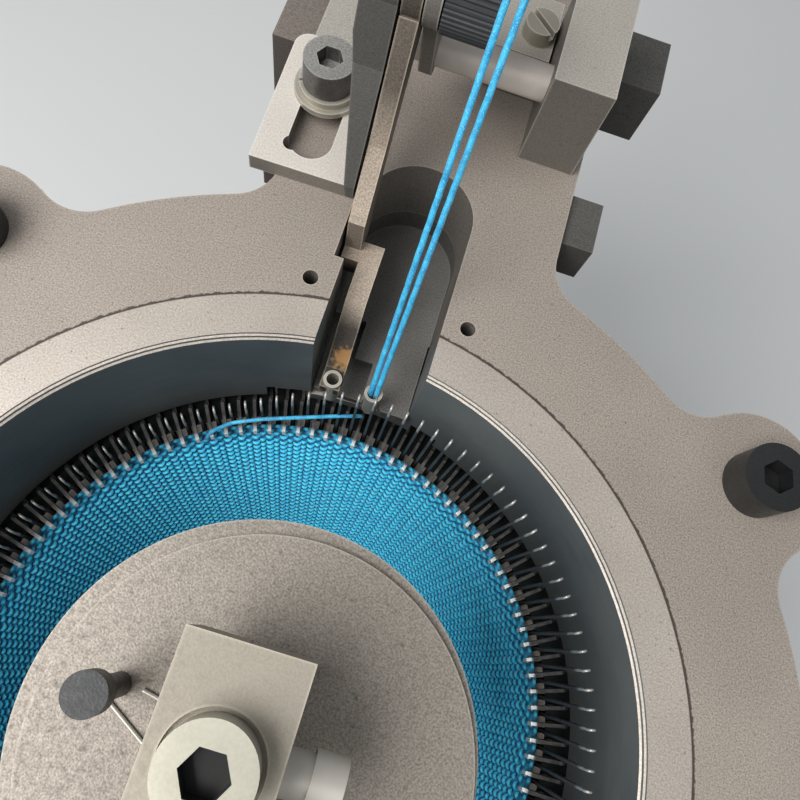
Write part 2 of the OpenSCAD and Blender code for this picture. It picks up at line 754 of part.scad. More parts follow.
// Knitted tube: a ribbed funnel from the needles down through the cylinder and the base plate.
// Each entry is how far the fabric's middle lies inside the cylinder's surface, and its depth under
// the head's top face.
knit_course = [[3.7, 44.9], [5.8, 45.7], [7.6, 47.8], [9.1, 52], [12.4, 62], [17.5, 82],
    [22.5, 102], [26, 124], [28, 160], [29, 234]];
knit_profile = [for (c = knit_course) [cylinder_r - c[0], c[1]]];
function knit_side(k) = let (a = knit_profile[max(0, k - 1)],
    b = knit_profile[min(len(knit_profile) - 1, k + 1)], d = b - a) [d[1], d[0]] / norm(d);
function knit_ring(k, side) = let (p = knit_profile[k], s = knit_side(k), steps = needle_count * 2)
    [for (i = [0:steps - 1])
        let (rib = side < 0 ? (i % 2 == 0 ? rib_h : 0) : 0,
            off = side * knit_wall / 2 - rib,
            r = p[0] + s[0] * off,
            a = (i + 0.5) * 360 / steps)
        [r * cos(a), r * sin(a), head_top - p[1] + s[1] * off]];
module knit_tube() {
    steps = needle_count * 2;
    last = len(knit_profile) - 1;
    rings = concat([for (k = [0:last]) knit_ring(k, -1)], [for (k = [last:-1:0]) knit_ring(k, 1)]);
    count = len(rings);
    color([0.1, 0.62, 0.78])
    polyhedron(
        points = [for (ring = rings) each ring],
        faces = [for (k = [0:count - 1], i = [0:steps - 1])
            let (j = (i + 1) % steps, n = (k + 1) % count)
            each [[k * steps + i, k * steps + j, n * steps + j],
                [k * steps + i, n * steps + j, n * steps + i]]]);
}

// Drive

module gear_motor() {
    color([0.3, 0.33, 0.36])
    at_drive() {
        translate([0, 0, base_t]) cylinder(r = motor_r + 3, h = motor_foot_h);
        translate([0, 0, base_t + motor_foot_h - tiny]) cylinder(r = motor_r, h = motor_h + tiny);
        translate([0, 0, motor_top - motor_neck_h - tiny])
            cylinder(r = motor_r - 8, h = motor_neck_h + tiny);
    }
}

module motor_terminal_box() {
    color([0.15, 0.15, 0.16])
    at_drive() translate([motor_r - 1.5, -13, base_t + 12])
        difference() {
            cube([14, 26, 30]);
            translate([-motor_r + 1.5, 13, -1]) cylinder(r = motor_r + 0.02, h = 32);
        }
}

module drive_shaft() {
    color([0.7, 0.7, 0.72])
    at_drive() translate([0, 0, motor_top + seat_gap])
        cylinder(r = shaft_r, h = hub_top - motor_top - seat_gap);
}

module drive_pinion() {
    hub_h = 3;
    color([0.6, 0.5, 0.3])
    at_drive() difference() {
        union() {
            translate([0, 0, gear_z]) linear_extrude(height = gear_w)
                rotate(180 + 180 / pinion_teeth + mesh_turn()) gear_outline(pinion_teeth);
            translate([0, 0, gear_top - tiny]) cylinder(r = shaft_r + 5, h = hub_h);
        }
        bore(shaft_r + running_gap, gear_z, gear_top + hub_h);
    }
}
// Turn of the pinion that puts its gaps on the ring gear's teeth
function mesh_turn() =
    let (phase = drive_angle * ring_teeth / 360) (phase - floor(phase)) * 360 / pinion_teeth;

module shaft_bush(bottom, top) {
    inner = shaft_r + running_gap;
    color([0.72, 0.55, 0.3])
    at_drive() rotate_extrude() polygon([
        [inner, bottom], [inner + bush_t, bottom], [inner + bush_t, top], [inner + 5, top],
        [inner + 5, top + 1.5], [inner, top + 1.5]]);
}
module bed_shaft_bush() { shaft_bush(bed_bottom, bed_top); }
module head_shaft_bush() { shaft_bush(head_bottom, head_top); }

module hand_wheel() {
    z = head_top + 9;
    color([0.1, 0.1, 0.1])
    at_drive() difference() {
        union() {
            translate([0, 0, z]) rotate_extrude()
                translate([handwheel_r, 0]) circle(r = handwheel_rim_r, $fn = 32);
            translate([0, 0, hub_z]) cylinder(r = shaft_r + 4, h = hub_h);
            for (a = [30, 150, 270])
                rotate([0, 0, a]) translate([8, 0, z]) rotate([0, 90, 0])
                    cylinder(r = 2.6, h = handwheel_r - 8, $fn = 24);
        }
        bore(shaft_r + running_gap, hub_z, hub_top);
    }
}

module hand_wheel_screw() {
    color([0.7, 0.7, 0.7])
    at_drive() translate([0, 0, hub_top]) difference() {
        cylinder(r = shaft_r + 2, h = 3);
        translate([0, 0, 1.5]) cylinder(r = 3, h = 3, $fn = 6);
    }
}

// Feeder

module feeder_plate() {
    half = slot_w / 2 - seat_gap;
    front = bore_r - 3;
    rim_y = ring_flange_r + 1.5;
    color([0.4, 0.37, 0.34])
    difference() {
        union() {
            translate([-half, front, plate_top - feeder_floor_t])
                cube([2 * half, rim_y - front + 1, feeder_floor_t]);
            translate([-feeder_plate_w / 2, rim_y, plate_top - feeder_floor_t])
                cube([feeder_plate_w, 50, head_bottom - plate_top + feeder_floor_t]);
            // Web down to the shelf that closes the plate's gap from below
            translate([-half, rim_y, head_top + shelf_top - shelf_t])
                cube([2 * half, 3, plate_top - head_top - shelf_top]);
        }
        translate([-slot_w / 2, rim_y - 1, plate_top]) cube([slot_w, slot_end_y - rim_y + 1, 20]);
        translate([0, slot_end_y, plate_top]) cylinder(r = slot_w / 2, h = 20);
        // Gap that the second feeder's finger swings in, and the slit beside the yarn tube
        translate([-slot_w / 2 - 1, front - 2, plate_top - 10]) cube([slot_w / 2 - 3.9, 26, 20]);
        translate([-5, front - 2, plate_top - 10]) cube([5.5, 14.5, 20]);
        translate([feeder_tube_x, feeder_tube_y, 0])
            bore(tube_r + running_gap, plate_top - feeder_floor_t, plate_top, $fn = 48);
        at_plate_screws() bore(plate_screw_r + screw_gap, plate_top - feeder_floor_t, head_bottom, $fn = 32);
        // Room in front of the tube for the needles
        translate([-slot_w, front - 5, plate_top - 10]) cube([slot_w + 6.2, 5.6, 20]);
    }
    color([0.4, 0.37, 0.34])
    translate([-half, bore_r, head_top + shelf_top - shelf_t])
        cube([half + 1, rim_y + 3 - bore_r, shelf_t]);
}

module feeder_plate_screws() {
    color([0.2, 0.2, 0.2])
    at_plate_screws() translate([0, 0, plate_top - feeder_floor_t]) rotate([180, 0, 0])
        cap_screw(4, 3, plate_screw_r, head_bottom - plate_top + feeder_floor_t + plate_thread, 2, $fn = 32);
}

module feeder_tube_shape(x, top) {
    translate([x, feeder_tube_y, top - tube_h]) difference() {
        union() {
            cylinder(r = tube_r - 0.25, h = tube_h, $fn = 48);
            translate([0, 0, tube_h - 1.6]) cylinder(r = tube_r, h = 1.6, $fn = 48);
        }
        bore(tube_bore_r, 0, tube_h, $fn = 48);
    }
}

module yarn_tube() {
    color([0.55, 0.53, 0.5]) feeder_tube_shape(feeder_tube_x, tube_top);
}

module second_yarn_tube() {
    color([0.55, 0.53, 0.5]) feeder_tube_shape(tube2_x, tube_top + 1);
}

// Cast lever from the lever shaft down into the slot, with a finger that carries the second tube
module carrier_lever() {
    z = head_top;
    sy = lever_shaft_y;
    sz = head_top + lever_shaft_z;
    low = head_top + lever_low_z;
    front = lever_front_y;
    tube = feeder_tube_y;
    finger_x = tube2_x - 2.9;
    finger_w = 5.4;
    color([0.5, 0.46, 0.4])
    difference() {
        union() {
            translate([lever_x, 0, 0]) rotate([90, 0, 90]) linear_extrude(height = lever_w)
                polygon([[sy - shaft_eye_r, sz - 3], [sy - 22, sz - 28.5], [front, z + 4.2],
                    [front - 0.6, low], [front + 6.4, low], [front + 10, z],
                    [sy - 4, sz - 18], [sy + 1, sz - 9]]);
            translate([lever_x, sy, sz]) rotate([0, 90, 0]) cylinder(r = shaft_eye_r, h = lever_w);
            translate([lever_x, front - 3.6, low]) cube([finger_x + finger_w - lever_x, 6, 7]);
            translate([finger_x, 0, 0]) rotate([90, 0, 90]) linear_extrude(height = finger_w)
                polygon([[front, low], [front, low + 7], [tube + 18, z - 8], [tube + 3.6, z - 20.5],
                    [tube - 2.25, z - 20.5], [tube - 2.25, z - 24.5], [tube + 6, z - 24.5],
                    [tube + 17, low]]);
        }
        translate([tube2_x, tube, 0]) bore(tube_r - 0.25 + running_gap, z - 26, z - 18, $fn = 48);
        translate([tube2_x, tube, z - 20.6]) cylinder(r = tube_r + running_gap, h = 4, $fn = 48);
        translate([lever_x - 1, sy, sz]) rotate([0, 90, 0])
            cylinder(r = lever_shaft_r + running_gap, h = lever_w + 2);
    }
}

module lever_shaft() {
    start = stop_x - stop_eye_w - 3;
    color([0.6, 0.6, 0.6])
    translate([start, lever_shaft_y, head_top + lever_shaft_z]) rotate([0, 90, 0])
        cylinder(r = lever_shaft_r, h = sleeve_x + sleeve_len - 0.5 - start);
}

// Flat plate that ties the lever shaft to the cross rod
module lever_bracket() {
    y0 = rod_y;
    z0 = head_top + rod_z;
    y1 = lever_shaft_y;
    z1 = head_top + lever_shaft_z;
    r = 6.6;
    d = [y1 - y0, z1 - z0];
    side = [d[1], -d[0]] / norm(d) * r;
    color([0.56, 0.55, 0.52])
    translate([bracket_x, 0, 0]) rotate([90, 0, 90]) linear_extrude(height = bracket_t)
        difference() {
            union() {
                polygon([[y0, z0] + side, [y1, z1] + side, [y1, z1] - side, [y0, z0] - side]);
                translate([y0, z0]) circle(r = r);
                translate([y1, z1]) circle(r = shaft_eye_r);
            }
            translate([y0, z0]) circle(r = rod_r + running_gap);
            translate([y1, z1]) circle(r = lever_shaft_r + running_gap);
        }
}

module knurled_sleeve() {
    color([0.07, 0.07, 0.07])
    translate([sleeve_x, lever_shaft_y, head_top + lever_shaft_z]) rotate([0, 90, 0])
        linear_extrude(height = sleeve_len)
            difference() {
                circle(r = knurl_r);
                circle(r = lever_shaft_r + running_gap);
                for (i = [0:knurl_count - 1])
                    rotate(i * 360 / knurl_count) translate([knurl_r, 0]) circle(r = 0.35, $fn = 4);
            }
}

module cross_rod() {
    start = bracket_x - 2;
    color([0.5, 0.49, 0.47])
    translate([start, rod_y, head_top + rod_z]) rotate([0, 90, 0])
        cylinder(r = rod_r, h = rear_post_x + rear_post_w - 3 - start);
}

// Post that carries the cross rod
module rear_post() {
    color([0.55, 0.53, 0.5])
    difference() {
        translate([rear_post_x, rear_post_y, head_top]) cube([rear_post_w, rear_post_len, rear_post_h]);
        translate([rear_post_x - 1, rod_y, head_top + rod_z]) rotate([0, 90, 0])
            cylinder(r = rod_r + running_gap, h = rear_post_w + 2);
    }
}

// Light block under the slotted screw, and the light plate on the lobe behind the clamp plate
module screw_block() {
    color([0.6, 0.57, 0.52]) {
        translate([screw_block_x, screw_block_y, head_top])
            cube([screw_block_w, screw_block_len, screw_block_h]);
        translate([clamp_x - 10.4, clamp_y + clamp_len + 1, head_top]) cube([12, 24, 2]);
    }
}

module slotted_screw() {
    color([0.8, 0.77, 0.68])
    translate([screw_block_x + 9.8, screw_block_y + 7.5, head_top + screw_block_h]) difference() {
        cylinder(r = slotted_r, h = 4.4, $fn = 64);
        rotate([0, 0, -42]) translate([-slotted_r - 1, -0.7, 2.4]) cube([2 * slotted_r + 2, 1.4, 3]);
    }
}

// Dark lever beside the carrier lever, thin at its low end and as thick as its eye above
module stop_lever() {
    sy = lever_shaft_y;
    sz = head_top + lever_shaft_z;
    eye_x = stop_x - stop_eye_w;
    color([0.24, 0.24, 0.24])
    difference() {
        union() {
            intersection() {
                translate([eye_x, 0, 0]) rotate([90, 0, 90]) linear_extrude(height = stop_eye_w)
                    polygon([[sy - 9, sz - 1], [sy - 14, sz - 14], [sy - 29, head_top + 11],
                        [sy - 29.5, head_top + 7.5], [sy - 26, head_top + 6], [sy - 3, sz - 18],
                        [sy + 6, sz - 6]]);
                translate([0, sy + 10, 0]) rotate([90, 0, 0]) linear_extrude(height = 45)
                    polygon([[stop_x, head_top], [stop_x, sz + 1], [eye_x, sz + 1], [eye_x, sz - 8],
                        [stop_x - stop_w, head_top + 5], [stop_x - stop_w, head_top]]);
            }
            translate([eye_x, sy, sz]) rotate([0, 90, 0]) cylinder(r = shaft_eye_r, h = stop_eye_w);
        }
        translate([eye_x - 1, sy, sz]) rotate([0, 90, 0])
            cylinder(r = lever_shaft_r + running_gap, h = stop_eye_w + 2);
    }
}

// Slotted clamp plate with its screw

module at_clamp() {
    translate([clamp_x, clamp_y, head_top]) rotate([0, 0, clamp_turn]) children();
}

module clamp_plate() {
    c = clamp_slot_w / 2;
    slot_x = -0.4;
    slot_y = 4 + c;
    nose = clamp_w / 2 - 4;
    color([0.66, 0.64, 0.6])
    at_clamp() difference() {
        union() {
            translate([-clamp_w / 2, 0, 0]) cube([clamp_w, clamp_len - 4, clamp_t]);
            translate([-nose, 0, 0]) cube([nose + clamp_w / 2, clamp_len, clamp_t]);
            translate([-nose, clamp_len - 4, 0]) cylinder(r = 4, h = clamp_t);
        }
        translate([slot_x, 0, -1]) {
            translate([-c, slot_y, 0]) cube([2 * c, clamp_screw_dy - slot_y, clamp_t + 2]);
            for (y = [slot_y, clamp_screw_dy]) translate([0, y, 0]) cylinder(r = c, h = clamp_t + 2);
        }
        // Round notch where the slot was drilled
        translate([slot_x + 1.3 - c, slot_y - 2.5, -1]) cylinder(r = 2.1, h = clamp_t + 2, $fn = 48);
    }
}

module clamp_washer() {
    color([0.78, 0.78, 0.76])
    translate([clamp_screw_x, clamp_screw_y, head_top + clamp_t]) difference() {
        cylinder(r = washer_r, h = washer_t);
        bore(m8_shank_r + 0.25, 0, washer_t);
    }
}

module clamp_spring_washer() {
    color([0.8, 0.8, 0.78])
    translate([clamp_screw_x, clamp_screw_y, head_top + clamp_t + washer_t]) difference() {
        cylinder(r = m8_head_r + 0.9, h = spring_washer_t);
        bore(m8_shank_r + 0.25, 0, spring_washer_t);
        rotate([0, 0, 200]) translate([3, -0.4, -1]) cube([6, 0.8, 4]);
    }
}

module clamp_screw() {
    stack = clamp_t + washer_t + spring_washer_t;
    color([0.3, 0.3, 0.29])
    translate([clamp_screw_x, clamp_screw_y, head_top + stack])
        cap_screw(m8_head_r, m8_head_h, m8_shank_r, stack - seat_gap, m8_socket_r, $fn = 64);
}

// Dark blocks on the lobe's right side
module side_brackets() {
    color([0.22, 0.22, 0.22]) {
        translate([lobe_half_w, lobe_side_y + 6.6, head_top - 16]) cube([9, 15, 14]);
        translate([lobe_half_w, lobe_back - 44, head_top - 14]) cube([15, 18, 20]);
    }
}

// Block on the lobe's left side behind the clamp plate, and the rail under the plate's edge
module rear_block() {
    front = clamp_y + clamp_len + 1;
    w = 15.5;
    rail_w = 5;
    color([0.44, 0.37, 0.33]) {
        translate([-lobe_half_w - w, front, head_top - 30]) cube([w, 32, 29]);
        translate([-lobe_half_w - rail_w, clamp_y + 4, head_top - 12])
            cube([rail_w, front + tiny - clamp_y - 4, 11.5]);
    }
}

// Disc and arm

module hold_down_disc() {
    top = head_top + disc_z;
    color([0.5, 0.48, 0.45]) {
        difference() {
            union() {
                translate([disc_x, disc_y, top - disc_t]) cylinder(r = disc_r, h = disc_t - 1.6, $fn = 180);
                translate([disc_x + 1.1, disc_y - 0.9, top - 1.6 - tiny])
                    cylinder(r = disc_r - 1.7, h = 1.6 + tiny, $fn = 180);
                translate([disc_x, disc_y, top - disc_t - 12]) cylinder(r = 15, h = 12 + tiny);
                translate([arm_x, arm_screw_y, top - tiny]) cylinder(r = 8, h = arm_lift + tiny);
            }
            translate([arm_x, arm_screw_y, top - 12]) cylinder(r = 4.1, h = arm_lift + 13);
        }
    }
}

module disc_arm() {
    color([0.63, 0.61, 0.57])
    difference() {
        translate([arm_x - arm_w / 2, -column_y - column_r, arm_z])
            cube([arm_w, column_y + column_r + arm_end_y, arm_t]);
        for (y = [arm_screw_y, -column_y]) {
            translate([arm_x, y, 0]) bore(4.5, arm_z, arm_top);
            translate([arm_x, y, arm_top - arm_recess]) cylinder(r = m8_head_r + 0.7, h = 3);
        }
        // Saw cut that the side screw closes
        translate([arm_x - 0.8, arm_screw_y, arm_z - 1]) cube([1.6, 30, arm_t + 2 - 6]);
        translate([arm_x, arm_screw_y, arm_z + side_screw_z]) rotate([0, 90, 0])
            cylinder(r = side_screw_r + screw_gap, h = arm_w, $fn = 32);
    }
}

module arm_column() {
    color([0.5, 0.5, 0.5])
    translate([arm_x, -column_y, head_top]) difference() {
        cylinder(r = column_r, h = disc_z + arm_lift);
        translate([0, 0, 18]) cylinder(r = 4.1, h = 30);
    }
}

module arm_screws() {
    color([0.75, 0.74, 0.7])
    for (y = [arm_screw_y, -column_y])
        translate([arm_x, y, arm_top - arm_recess])
            cap_screw(m8_head_r, m8_head_h, m8_shank_r, arm_t - arm_recess + arm_thread, m8_socket_r,
                $fn = 64);
}

module arm_clamp_screw() {
    color([0.3, 0.3, 0.3])
    translate([arm_x + arm_w / 2, arm_screw_y, arm_z + side_screw_z]) rotate([0, 90, 0]) {
        difference() {
            union() {
                cylinder(r = 3.5, h = 4.2, $fn = 48);
                translate([0, 0, 4.2 - tiny]) cylinder(r = 4.25, h = 5, $fn = 48);
                translate([0, 0, -side_screw_len])
                    cylinder(r = side_screw_r, h = side_screw_len + tiny, $fn = 32);
            }
            translate([0, 0, 6.8]) cylinder(r = 2.3, h = 4, $fn = 6);
        }
    }
}

module disc_stud() {
    color([0.12, 0.12, 0.12])
    translate([stud_x, stud_y, head_top + disc_z]) {
        cylinder(r = stud_neck_r, h = stud_neck_h, $fn = 48);
        translate([0, 0, stud_neck_h - tiny]) cylinder(r = stud_head_r, h = stud_head_h, $fn = 48);
    }
}

// Two thin wires from the stud to the arm
module wire_clip() {
    color([0.8, 0.8, 0.78])
    for (p = [[[-18, 2.3], [-12.4, 1.2]], [[-22.4, -0.9], [-14.5, -5.5]]]) {
        d = p[1] - p[0];
        translate([p[0][0], p[0][1], head_top + disc_z + 0.4])
            rotate([0, 0, atan2(d[1], d[0])]) rotate([0, 90, 0]) cylinder(r = 0.4, h = norm(d), $fn = 16);
    }
}

// Yarn guide and yarn

module guide_post() {
    color([0.65, 0.65, 0.65])
    translate([guide_x, post_y, head_top]) {
        cylinder(r = post_r + 3, h = 8);
        cylinder(r = post_r, h = post_top);
    }
}

module guide_arm() {
    color([0.3, 0.3, 0.3])
    translate([guide_x, post_y, head_top + guide_z - guide_arm_t / 2]) difference() {
        union() {
            cylinder(r = post_r + 4, h = guide_arm_t);
            translate([-7, -guide_reach - 6, 2]) cube([14, guide_reach + 6, guide_arm_t - 4]);
        }
        bore(post_r + running_gap, 0, guide_arm_t);
        for (s = [-1, 1])
            translate([s * guide_dx, -guide_reach, 0]) bore(eye_r + running_gap, 0, guide_arm_t, $fn = 32);
    }
}

module guide_eyes() {
    h = eye_h / 2;
    color([0.92, 0.9, 0.84])
    for (s = [-1, 1])
        translate([guide_x + s * guide_dx, guide_y, head_top + guide_z]) rotate_extrude($fn = 48)
            polygon([[eye_bore_r, -h + 0.6], [eye_bore_r + 0.4, -h], [eye_r, -h], [eye_r, h],
                [eye_bore_r + 0.4, h], [eye_bore_r, h - 0.6]]);
}

// Spring-loaded tension discs above the guide, on a pin from the post
module yarn_tensioner() {
    half_gap = yarn_r + 0.1;
    disc = 1.5;
    nose = 7;
    color([0.75, 0.75, 0.75])
    translate([guide_x, guide_y, head_top + tension_z]) rotate([-90, 0, 0]) {
        translate([0, 0, -half_gap - disc]) cylinder(r = 8, h = disc);
        translate([0, 0, half_gap]) cylinder(r = 8, h = disc);
        translate([0, 0, -nose]) cylinder(r = 1.6, h = nose + post_y - post_r - seat_gap - guide_y, $fn = 24);
        translate([0, 0, -nose]) cylinder(r = 5, h = 3, $fn = 32);
    }
}

// Route of one strand, from between the tension discs through its eye and down into the feeder tube
function strand_route(s) = [
    [guide_x + s * guide_dx, guide_y, head_top + tension_z - 3],
    [guide_x + s * guide_dx, guide_y, head_top + guide_z],
    [guide_x + s * guide_dx, guide_y, head_top + guide_z - eye_h / 2 - 1],
    [feeder_tube_x + s * 0.8, feeder_tube_y + 0.2, tube_top + 0.6],
    [feeder_tube_x + s * 0.8, feeder_tube_y, tube_top - tube_h + 1]];
function unit(v) = v / norm(v);
module strand(points, r) {
    sides = 8;
    n = len(points);
    axis = unit(points[n - 1] - points[0]);
    color([0.12, 0.6, 0.8])
    polyhedron(
        points = [for (k = [0:n - 1])
            let (t = unit(points[min(n - 1, k + 1)] - points[max(0, k - 1)]),
                u = unit(cross(t, [1, 0, 0])), v = cross(t, u))
            each [for (i = [0:sides - 1]) let (a = i * 360 / sides)
                points[k] + r * (cos(a) * u + sin(a) * v)]],
        faces = concat(
            [[for (i = [0:sides - 1]) sides - 1 - i]],
            [for (k = [0:n - 2], i = [0:sides - 1])
                let (j = (i + 1) % sides)
                [k * sides + i, k * sides + j, (k + 1) * sides + j, (k + 1) * sides + i]],
            [[for (i = [0:sides - 1]) (n - 1) * sides + i]]));
}
module yarn_strands() {
    for (s = [-1, 1]) strand(strand_route(s), yarn_r);
}

base_plate();
lower_pillars();
bed_plate();
upper_pillars();
head_casting();
pillar_screws();
bore_ring();
ring_screws();
cam_drum();
needle_cams();
cylinder_bush();
needle_cylinder();
cylinder_retainer();
ring_gear();
gear_screws();
sinker_ring();
sinkers();
needles();
needle_latches();
needle_band();
knit_tube();
gear_motor();
motor_terminal_box();
drive_shaft();
drive_pinion();
bed_shaft_bush();
head_shaft_bush();
hand_wheel();
hand_wheel_screw();
feeder_plate();
feeder_plate_screws();
yarn_tube();
carrier_lever();
second_yarn_tube();
lever_shaft();
lever_bracket();
knurled_sleeve();
cross_rod();
rear_post();
screw_block();
slotted_screw();
stop_lever();
clamp_plate();
clamp_washer();
clamp_spring_washer();
clamp_screw();
side_brackets();
rear_block();
hold_down_disc();
disc_arm();
arm_column();
arm_screws();
arm_clamp_screw();
disc_stud();
wire_clip();
guide_post();
guide_arm();
guide_eyes();
yarn_tensioner();
yarn_strands();
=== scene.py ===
"""Visual model of the circular knitting head, in metres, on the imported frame."""

import json
import math

import bpy
import numpy as np
from mathutils import Matrix, Vector


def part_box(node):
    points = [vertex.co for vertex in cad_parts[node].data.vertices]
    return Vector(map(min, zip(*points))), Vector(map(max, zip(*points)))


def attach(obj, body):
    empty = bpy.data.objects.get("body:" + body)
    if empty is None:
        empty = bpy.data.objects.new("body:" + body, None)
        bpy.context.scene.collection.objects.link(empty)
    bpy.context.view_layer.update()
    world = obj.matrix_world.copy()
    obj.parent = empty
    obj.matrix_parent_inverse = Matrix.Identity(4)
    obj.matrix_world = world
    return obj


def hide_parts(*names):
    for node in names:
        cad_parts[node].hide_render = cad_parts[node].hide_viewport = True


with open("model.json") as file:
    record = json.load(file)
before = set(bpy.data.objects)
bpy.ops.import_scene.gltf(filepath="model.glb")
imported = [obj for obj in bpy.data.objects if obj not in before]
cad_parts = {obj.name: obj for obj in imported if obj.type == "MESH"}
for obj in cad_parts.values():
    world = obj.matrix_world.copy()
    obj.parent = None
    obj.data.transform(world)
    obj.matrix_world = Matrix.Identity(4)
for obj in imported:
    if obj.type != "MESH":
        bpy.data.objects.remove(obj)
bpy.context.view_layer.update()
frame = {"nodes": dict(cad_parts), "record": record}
nodes = frame["nodes"]

# Sizes that several pieces share. All but the course height are the same as in the solids.

MM = 0.001
HEAD_TOP = 240 * MM
NEEDLES = 112
NEEDLE_R = 74.6 * MM
PITCH = 2 * math.pi / NEEDLES
COURSE = 1.95 * MM


def from_head(x, y, z):
    """A point in metres, from millimetres along X and Y and above the head's top face."""
    return Vector((x, y, z)) * MM + Vector((0, 0, HEAD_TOP))


def linear(r, g, b):
    """Linear colour of an sRGB one given as 0 to 255."""
    shares = [c / 255 for c in (r, g, b)]
    return tuple(((c + 0.055) / 1.055) ** 2.4 if c > 0.04045 else c / 12.92 for c in shares) + (1.0,)


# Camera, over the cylinder and a little to the front

CAMERA_PLACE = Vector((2.83, 18.07, 405.17)) * MM
CAMERA_FORWARD = Vector((0.0375, 0.3193, -0.9469))
CAMERA_UP = Vector((-0.3089, 0.9049, 0.2929))
CAMERA_LENS = 33.75
CAMERA_SENSOR = 36
CAMERA_RANGE = (0.01, 20)


def make_camera():
    data = bpy.data.cameras.new("camera")
    data.lens = CAMERA_LENS
    data.sensor_width = CAMERA_SENSOR
    data.clip_start, data.clip_end = CAMERA_RANGE
    camera = bpy.data.objects.new("camera", data)
    bpy.context.collection.objects.link(camera)
    right = CAMERA_FORWARD.cross(CAMERA_UP).normalized()
    up = right.cross(CAMERA_FORWARD).normalized()
    turn = Matrix((right, up, -CAMERA_FORWARD.normalized())).transposed()
    camera.matrix_world = Matrix.Translation(CAMERA_PLACE) @ turn.to_4x4()
    bpy.context.scene.camera = camera


# Materials. Their colours are sRGB, given as 0 to 255.

# Painted shade in the sockets of screws
SOCKET_SHADE = (34, 34, 32)
SEAM_COLOUR = (58, 48, 42)
RUST_COLOUR = (170, 128, 78)
# Bright steel on sharp edges, for wear and a painted highlight
BRIGHT_EDGE_STEEL = (232, 228, 216)
# Painted shade between the knitted loops
KNIT_GAP_SHADE = (10, 78, 108)

# Bands of a noise value, in which one look goes over into the next
MIDDLE_BAND = (0.3, 0.7)
GRAIN_BAND = (0.32, 0.68)
PIT_BAND = (0.62, 0.74)

# Edge wear and a painted highlight show where the normal, rounded over this radius, turns away by these
# cosines
BRIGHT_EDGE_RADIUS = 0.7 * MM
EDGE_COSINES = (0.98, 0.86)

# Painted shade on walls ends where the normal's Z passes a level, within this fade
UP_FADE = 0.15

# Painted shade: the share of light left deep in the slot, and high up beside the lever shaft
DARK_SHARE = 0.16
DIM_SHARE = 0.35

# The bore ring's rim, half the width of the seam round it, a screw's socket, which has painted shade, the tan
# spot on the lever, and the radii between which a sinker's bright nose, wear with a painted highlight, turns
# grey
RING_R = 93.3 * MM
SEAM_HALF = 0.25 * MM
SOCKET_R = 3.5 * MM
RUST_REACH = 3.6 * MM
SINKER_NOSE = (70.4 * MM, 72.4 * MM)

# Sockets of a Mix node when it mixes colours
MIX_SHARE, MIX_FIRST, MIX_SECOND, MIX_RESULT = 0, 6, 7, 2


